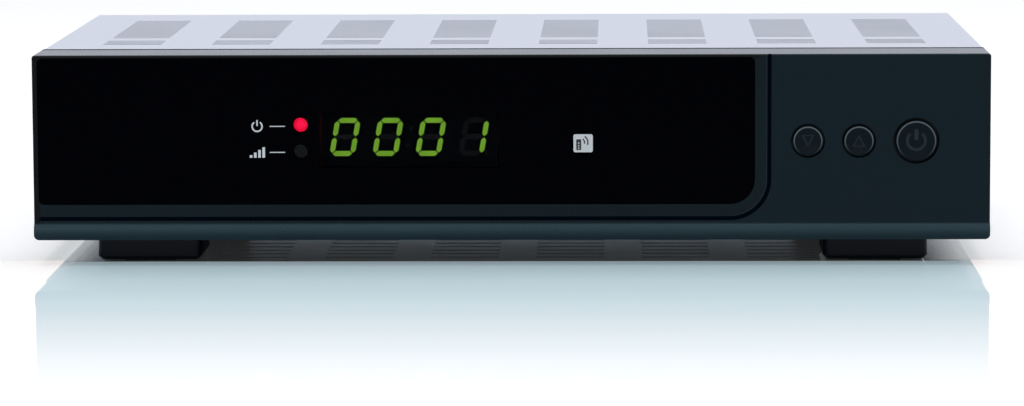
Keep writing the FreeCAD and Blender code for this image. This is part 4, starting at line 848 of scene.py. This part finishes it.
marks = {"x": -68.8, "power": 31.1, "signal": 24.0, "stroke": 0.42, "under": 0.005, "proud": 0.02,
         "ring": 1.35, "ringGap": (125, 290), "stem": (0.1, 1.75),
         "bars": 4, "barsLeft": -2.1, "barPitch": 1.15, "barWide": 0.75, "barLow": -1.45, "barTop": -0.75,
         "barRise": 0.72, "line": (-65.4, -61.2), "lineHalf": 0.13,
         "remote": (17.1, 22.35, 23.9, 28.8), "remoteRound": 0.5, "handset": (0.75, 2.1, 0.6, 1.35),
         "handsetRound": 0.3, "waves": (1.1, 2.0), "waveFrom": (1.9, 2.2), "waveWide": 0.36,
         "waveArc": (-20, 75), "keys": 3, "keyAt": (1.42, 1.1), "keyPitch": 0.7, "key": 0.2, "waveSteps": 14,
         "keySides": 12, "darkLevel": 1.5, "keyLevel": 2, "pale": (0.66, 0.70, 0.70),
         "dark": (0.01, 0.01, 0.012), "inkRough": 0.5}


def printMarks():
    pale, dark = bmesh.new(), bmesh.new()

    def layer(build, spots, level=1):      # level puts a print over another
        prism(build, spots, marks["under"], -marks["proud"] * level)

    x, z = marks["x"], marks["power"]
    stroke, (stemLow, stemTop) = marks["stroke"], marks["stem"]
    layer(pale, band(x, z, marks["ring"], stroke, *marks["ringGap"]))
    layer(pale, box(x - stroke / 2, x + stroke / 2, z + stemLow, z + stemTop))
    z = marks["signal"]
    for step in range(marks["bars"]):
        left = x + marks["barsLeft"] + step * marks["barPitch"]
        top = z + marks["barTop"] + step * marks["barRise"]
        layer(pale, box(left, left + marks["barWide"], z + marks["barLow"], top))
    for z in (marks["power"], marks["signal"]):
        layer(pale, box(*marks["line"], z - marks["lineHalf"], z + marks["lineHalf"]))

    left, right, low, top = marks["remote"]
    layer(pale, softBox(left, right, low, top, marks["remoteRound"]))
    handLeft, handRight, handLow, handTop = marks["handset"]
    layer(dark,
          softBox(left + handLeft, left + handRight, low + handLow, top - handTop, marks["handsetRound"]),
          marks["darkLevel"])
    waveX, waveZ = marks["waveFrom"]
    for radius in marks["waves"]:
        wave = band(left + waveX, top - waveZ, radius, marks["waveWide"], *marks["waveArc"],
                    marks["waveSteps"])
        layer(dark, wave, marks["darkLevel"])
    keyX, keyZ = marks["keyAt"]
    for row in range(marks["keys"]):
        key = circle(left + keyX, low + keyZ + row * marks["keyPitch"], marks["key"], marks["keySides"])
        layer(pale, key, marks["keyLevel"])
    for name, build, ink, colour in (("windowMarks", pale, "whiteInk", marks["pale"]),
                                     ("windowMarksDark", dark, "blackInk", marks["dark"])):
        mesh = meshOf(name, build, moulded(ink, colour, marks["inkRough"]))
        settle(name, mesh, "window_acrylic", smooth=False)


printMarks()
print("window marks")


# Stage: floor, studio light and camera

floor = {"size": 9.0, "edge": -71.6, "edgeSoft": 0.8, "back": (20, 60), "side": (110, 131), "near": -76,
         "far": -345, "beforeEnd": 4, "lift": 0.42, "lit": 0.70, "under": (0.84, 0.95, 1.0),
         "dim": (0.035, 0.035, 0.035), "before": (0.55, 0.425, 0.38), "bounce": (0.80, 0.84, 0.89),
         "air": (0.99, 1.02, 1.10), "rough": 0.02}


def makeFloor():
    # a mirror only to the camera: nearly whole under the case, and fading away in front of it
    bpy.ops.mesh.primitive_plane_add(size=floor["size"], location=(0, 0, 0))
    ground = bpy.context.object
    ground.name = "studioFloor"
    finish = Finish("studioFloor")
    tree = finish.tree
    camera = finish.node("LightPath", {}, {}, "Is Camera Ray")
    x, y, z = finish.along()
    edge, soft = floor["edge"], floor["edgeSoft"]
    under = (y.step(edge - soft, edge + soft) * (1 - y.step(*floor["back"]))
             * (1 - abs(x).step(*floor["side"])))
    before = y.step(floor["far"], floor["near"]) * (1 - y.step(edge, edge + floor["beforeEnd"]))
    # what the floor mirrors before the case it doesn't scatter, colour by colour
    front, beneath = [solid(a / b for a, b in zip(floor[part], floor["air"])) for part in ("before", "under")]
    kept = solid(1 - a for a in floor["before"])
    mirrored = finish.mix(under, finish.mix(before, black, front), beneath)
    scattered = finish.mix(under, finish.mix(before, white, kept), solid(floor["dim"]))
    lit = finish.mix(camera, solid(floor["bounce"]), finish.mix(1 - floor["lit"], scattered, black))
    cloud = finish.node("BsdfDiffuse", {}, {"Color": lit})
    light = finish.node("Emission", {}, {"Color": scattered, "Strength": camera * floor["lift"]})
    gloss = finish.node("BsdfGlossy", {}, {
        "Roughness": floor["rough"], "Color": finish.mix(camera, black, mirrored)})
    both = finish.node("AddShader", {}, {0: finish.node("AddShader", {}, {0: cloud, 1: light}), 1: gloss})
    tree.links.new(both.socket, tree.nodes["Material Output"].inputs["Surface"])
    ground.data.materials.append(finish.material)


def makeLight():
    # white to the camera and in mirrors, half as strong and a little cool as light on the object
    air = {"tint": (0.90, 0.93, 1), "ambient": 0.5, "mirrored": 0.1}
    world = bpy.data.worlds.new("studioLight")
    scene.world = world
    world.use_nodes = True
    tree = world.node_tree
    path = tree.nodes.new("ShaderNodeLightPath")
    camera, glossy, through = [Wire(tree, path.outputs["Is %s Ray" % a])
                               for a in ("Camera", "Glossy", "Transmission")]
    seen = camera.most(glossy).most(through)
    mirrored = glossy * (1 - camera)
    background = tree.nodes["Background"]
    plug(tree, background.inputs["Color"], mixColours(tree, camera, solid(air["tint"]), white))
    plug(tree, background.inputs["Strength"],
         seen * (1 - air["ambient"]) + air["ambient"] + mirrored * air["mirrored"])

    studioLamps = {"overhead": {"place": (0.1, 0.1, 1.5), "size": (1.6, 1.2), "power": 14, "tilt": 0,
                                "turn": 0},
                   "front": {"place": (-0.9, -1.9, 1.1), "size": (0.9, 0.9), "power": 5, "tilt": 58,
                             "turn": -25}}
    for name, lamp in studioLamps.items():
        light = bpy.data.lights.new(name, "AREA")
        light.shape = "RECTANGLE"
        light.size, light.size_y = lamp["size"]
        light.energy = lamp["power"]
        holder = bpy.data.objects.new(name, light)
        turn = turnAbout("Z", lamp["turn"]) @ turnAbout("X", lamp["tilt"])
        holder.matrix_world = Matrix.Translation(lamp["place"]) @ turn
        scene.collection.objects.link(holder)


def turnAbout(axis, degrees):
    return Matrix.Rotation(math.radians(degrees), 4, axis)


def makeCamera():
    view = {"place": (30.0, -1258.8, 155.7), "down": 6.706, "aside": 1.4406, "roll": -0.247, "lens": 153.6,
            "sensor": 36}
    eye = bpy.data.cameras.new("camera")
    eye.lens = view["lens"]
    eye.sensor_width = view["sensor"]
    camera = bpy.data.objects.new("camera", eye)
    turn = turnAbout("Z", view["aside"]) @ turnAbout("X", -view["down"]) @ turnAbout("Y", -view["roll"])
    level = Matrix.Rotation(quarterTurn, 4, "X")      # looks along y before it is turned
    camera.matrix_world = Matrix.Translation([a * mm for a in view["place"]]) @ turn @ level
    scene.collection.objects.link(camera)
    scene.camera = camera


makeFloor()
makeLight()
makeCamera()
scene.view_settings.view_transform = "Standard"
print("stage, light and camera")
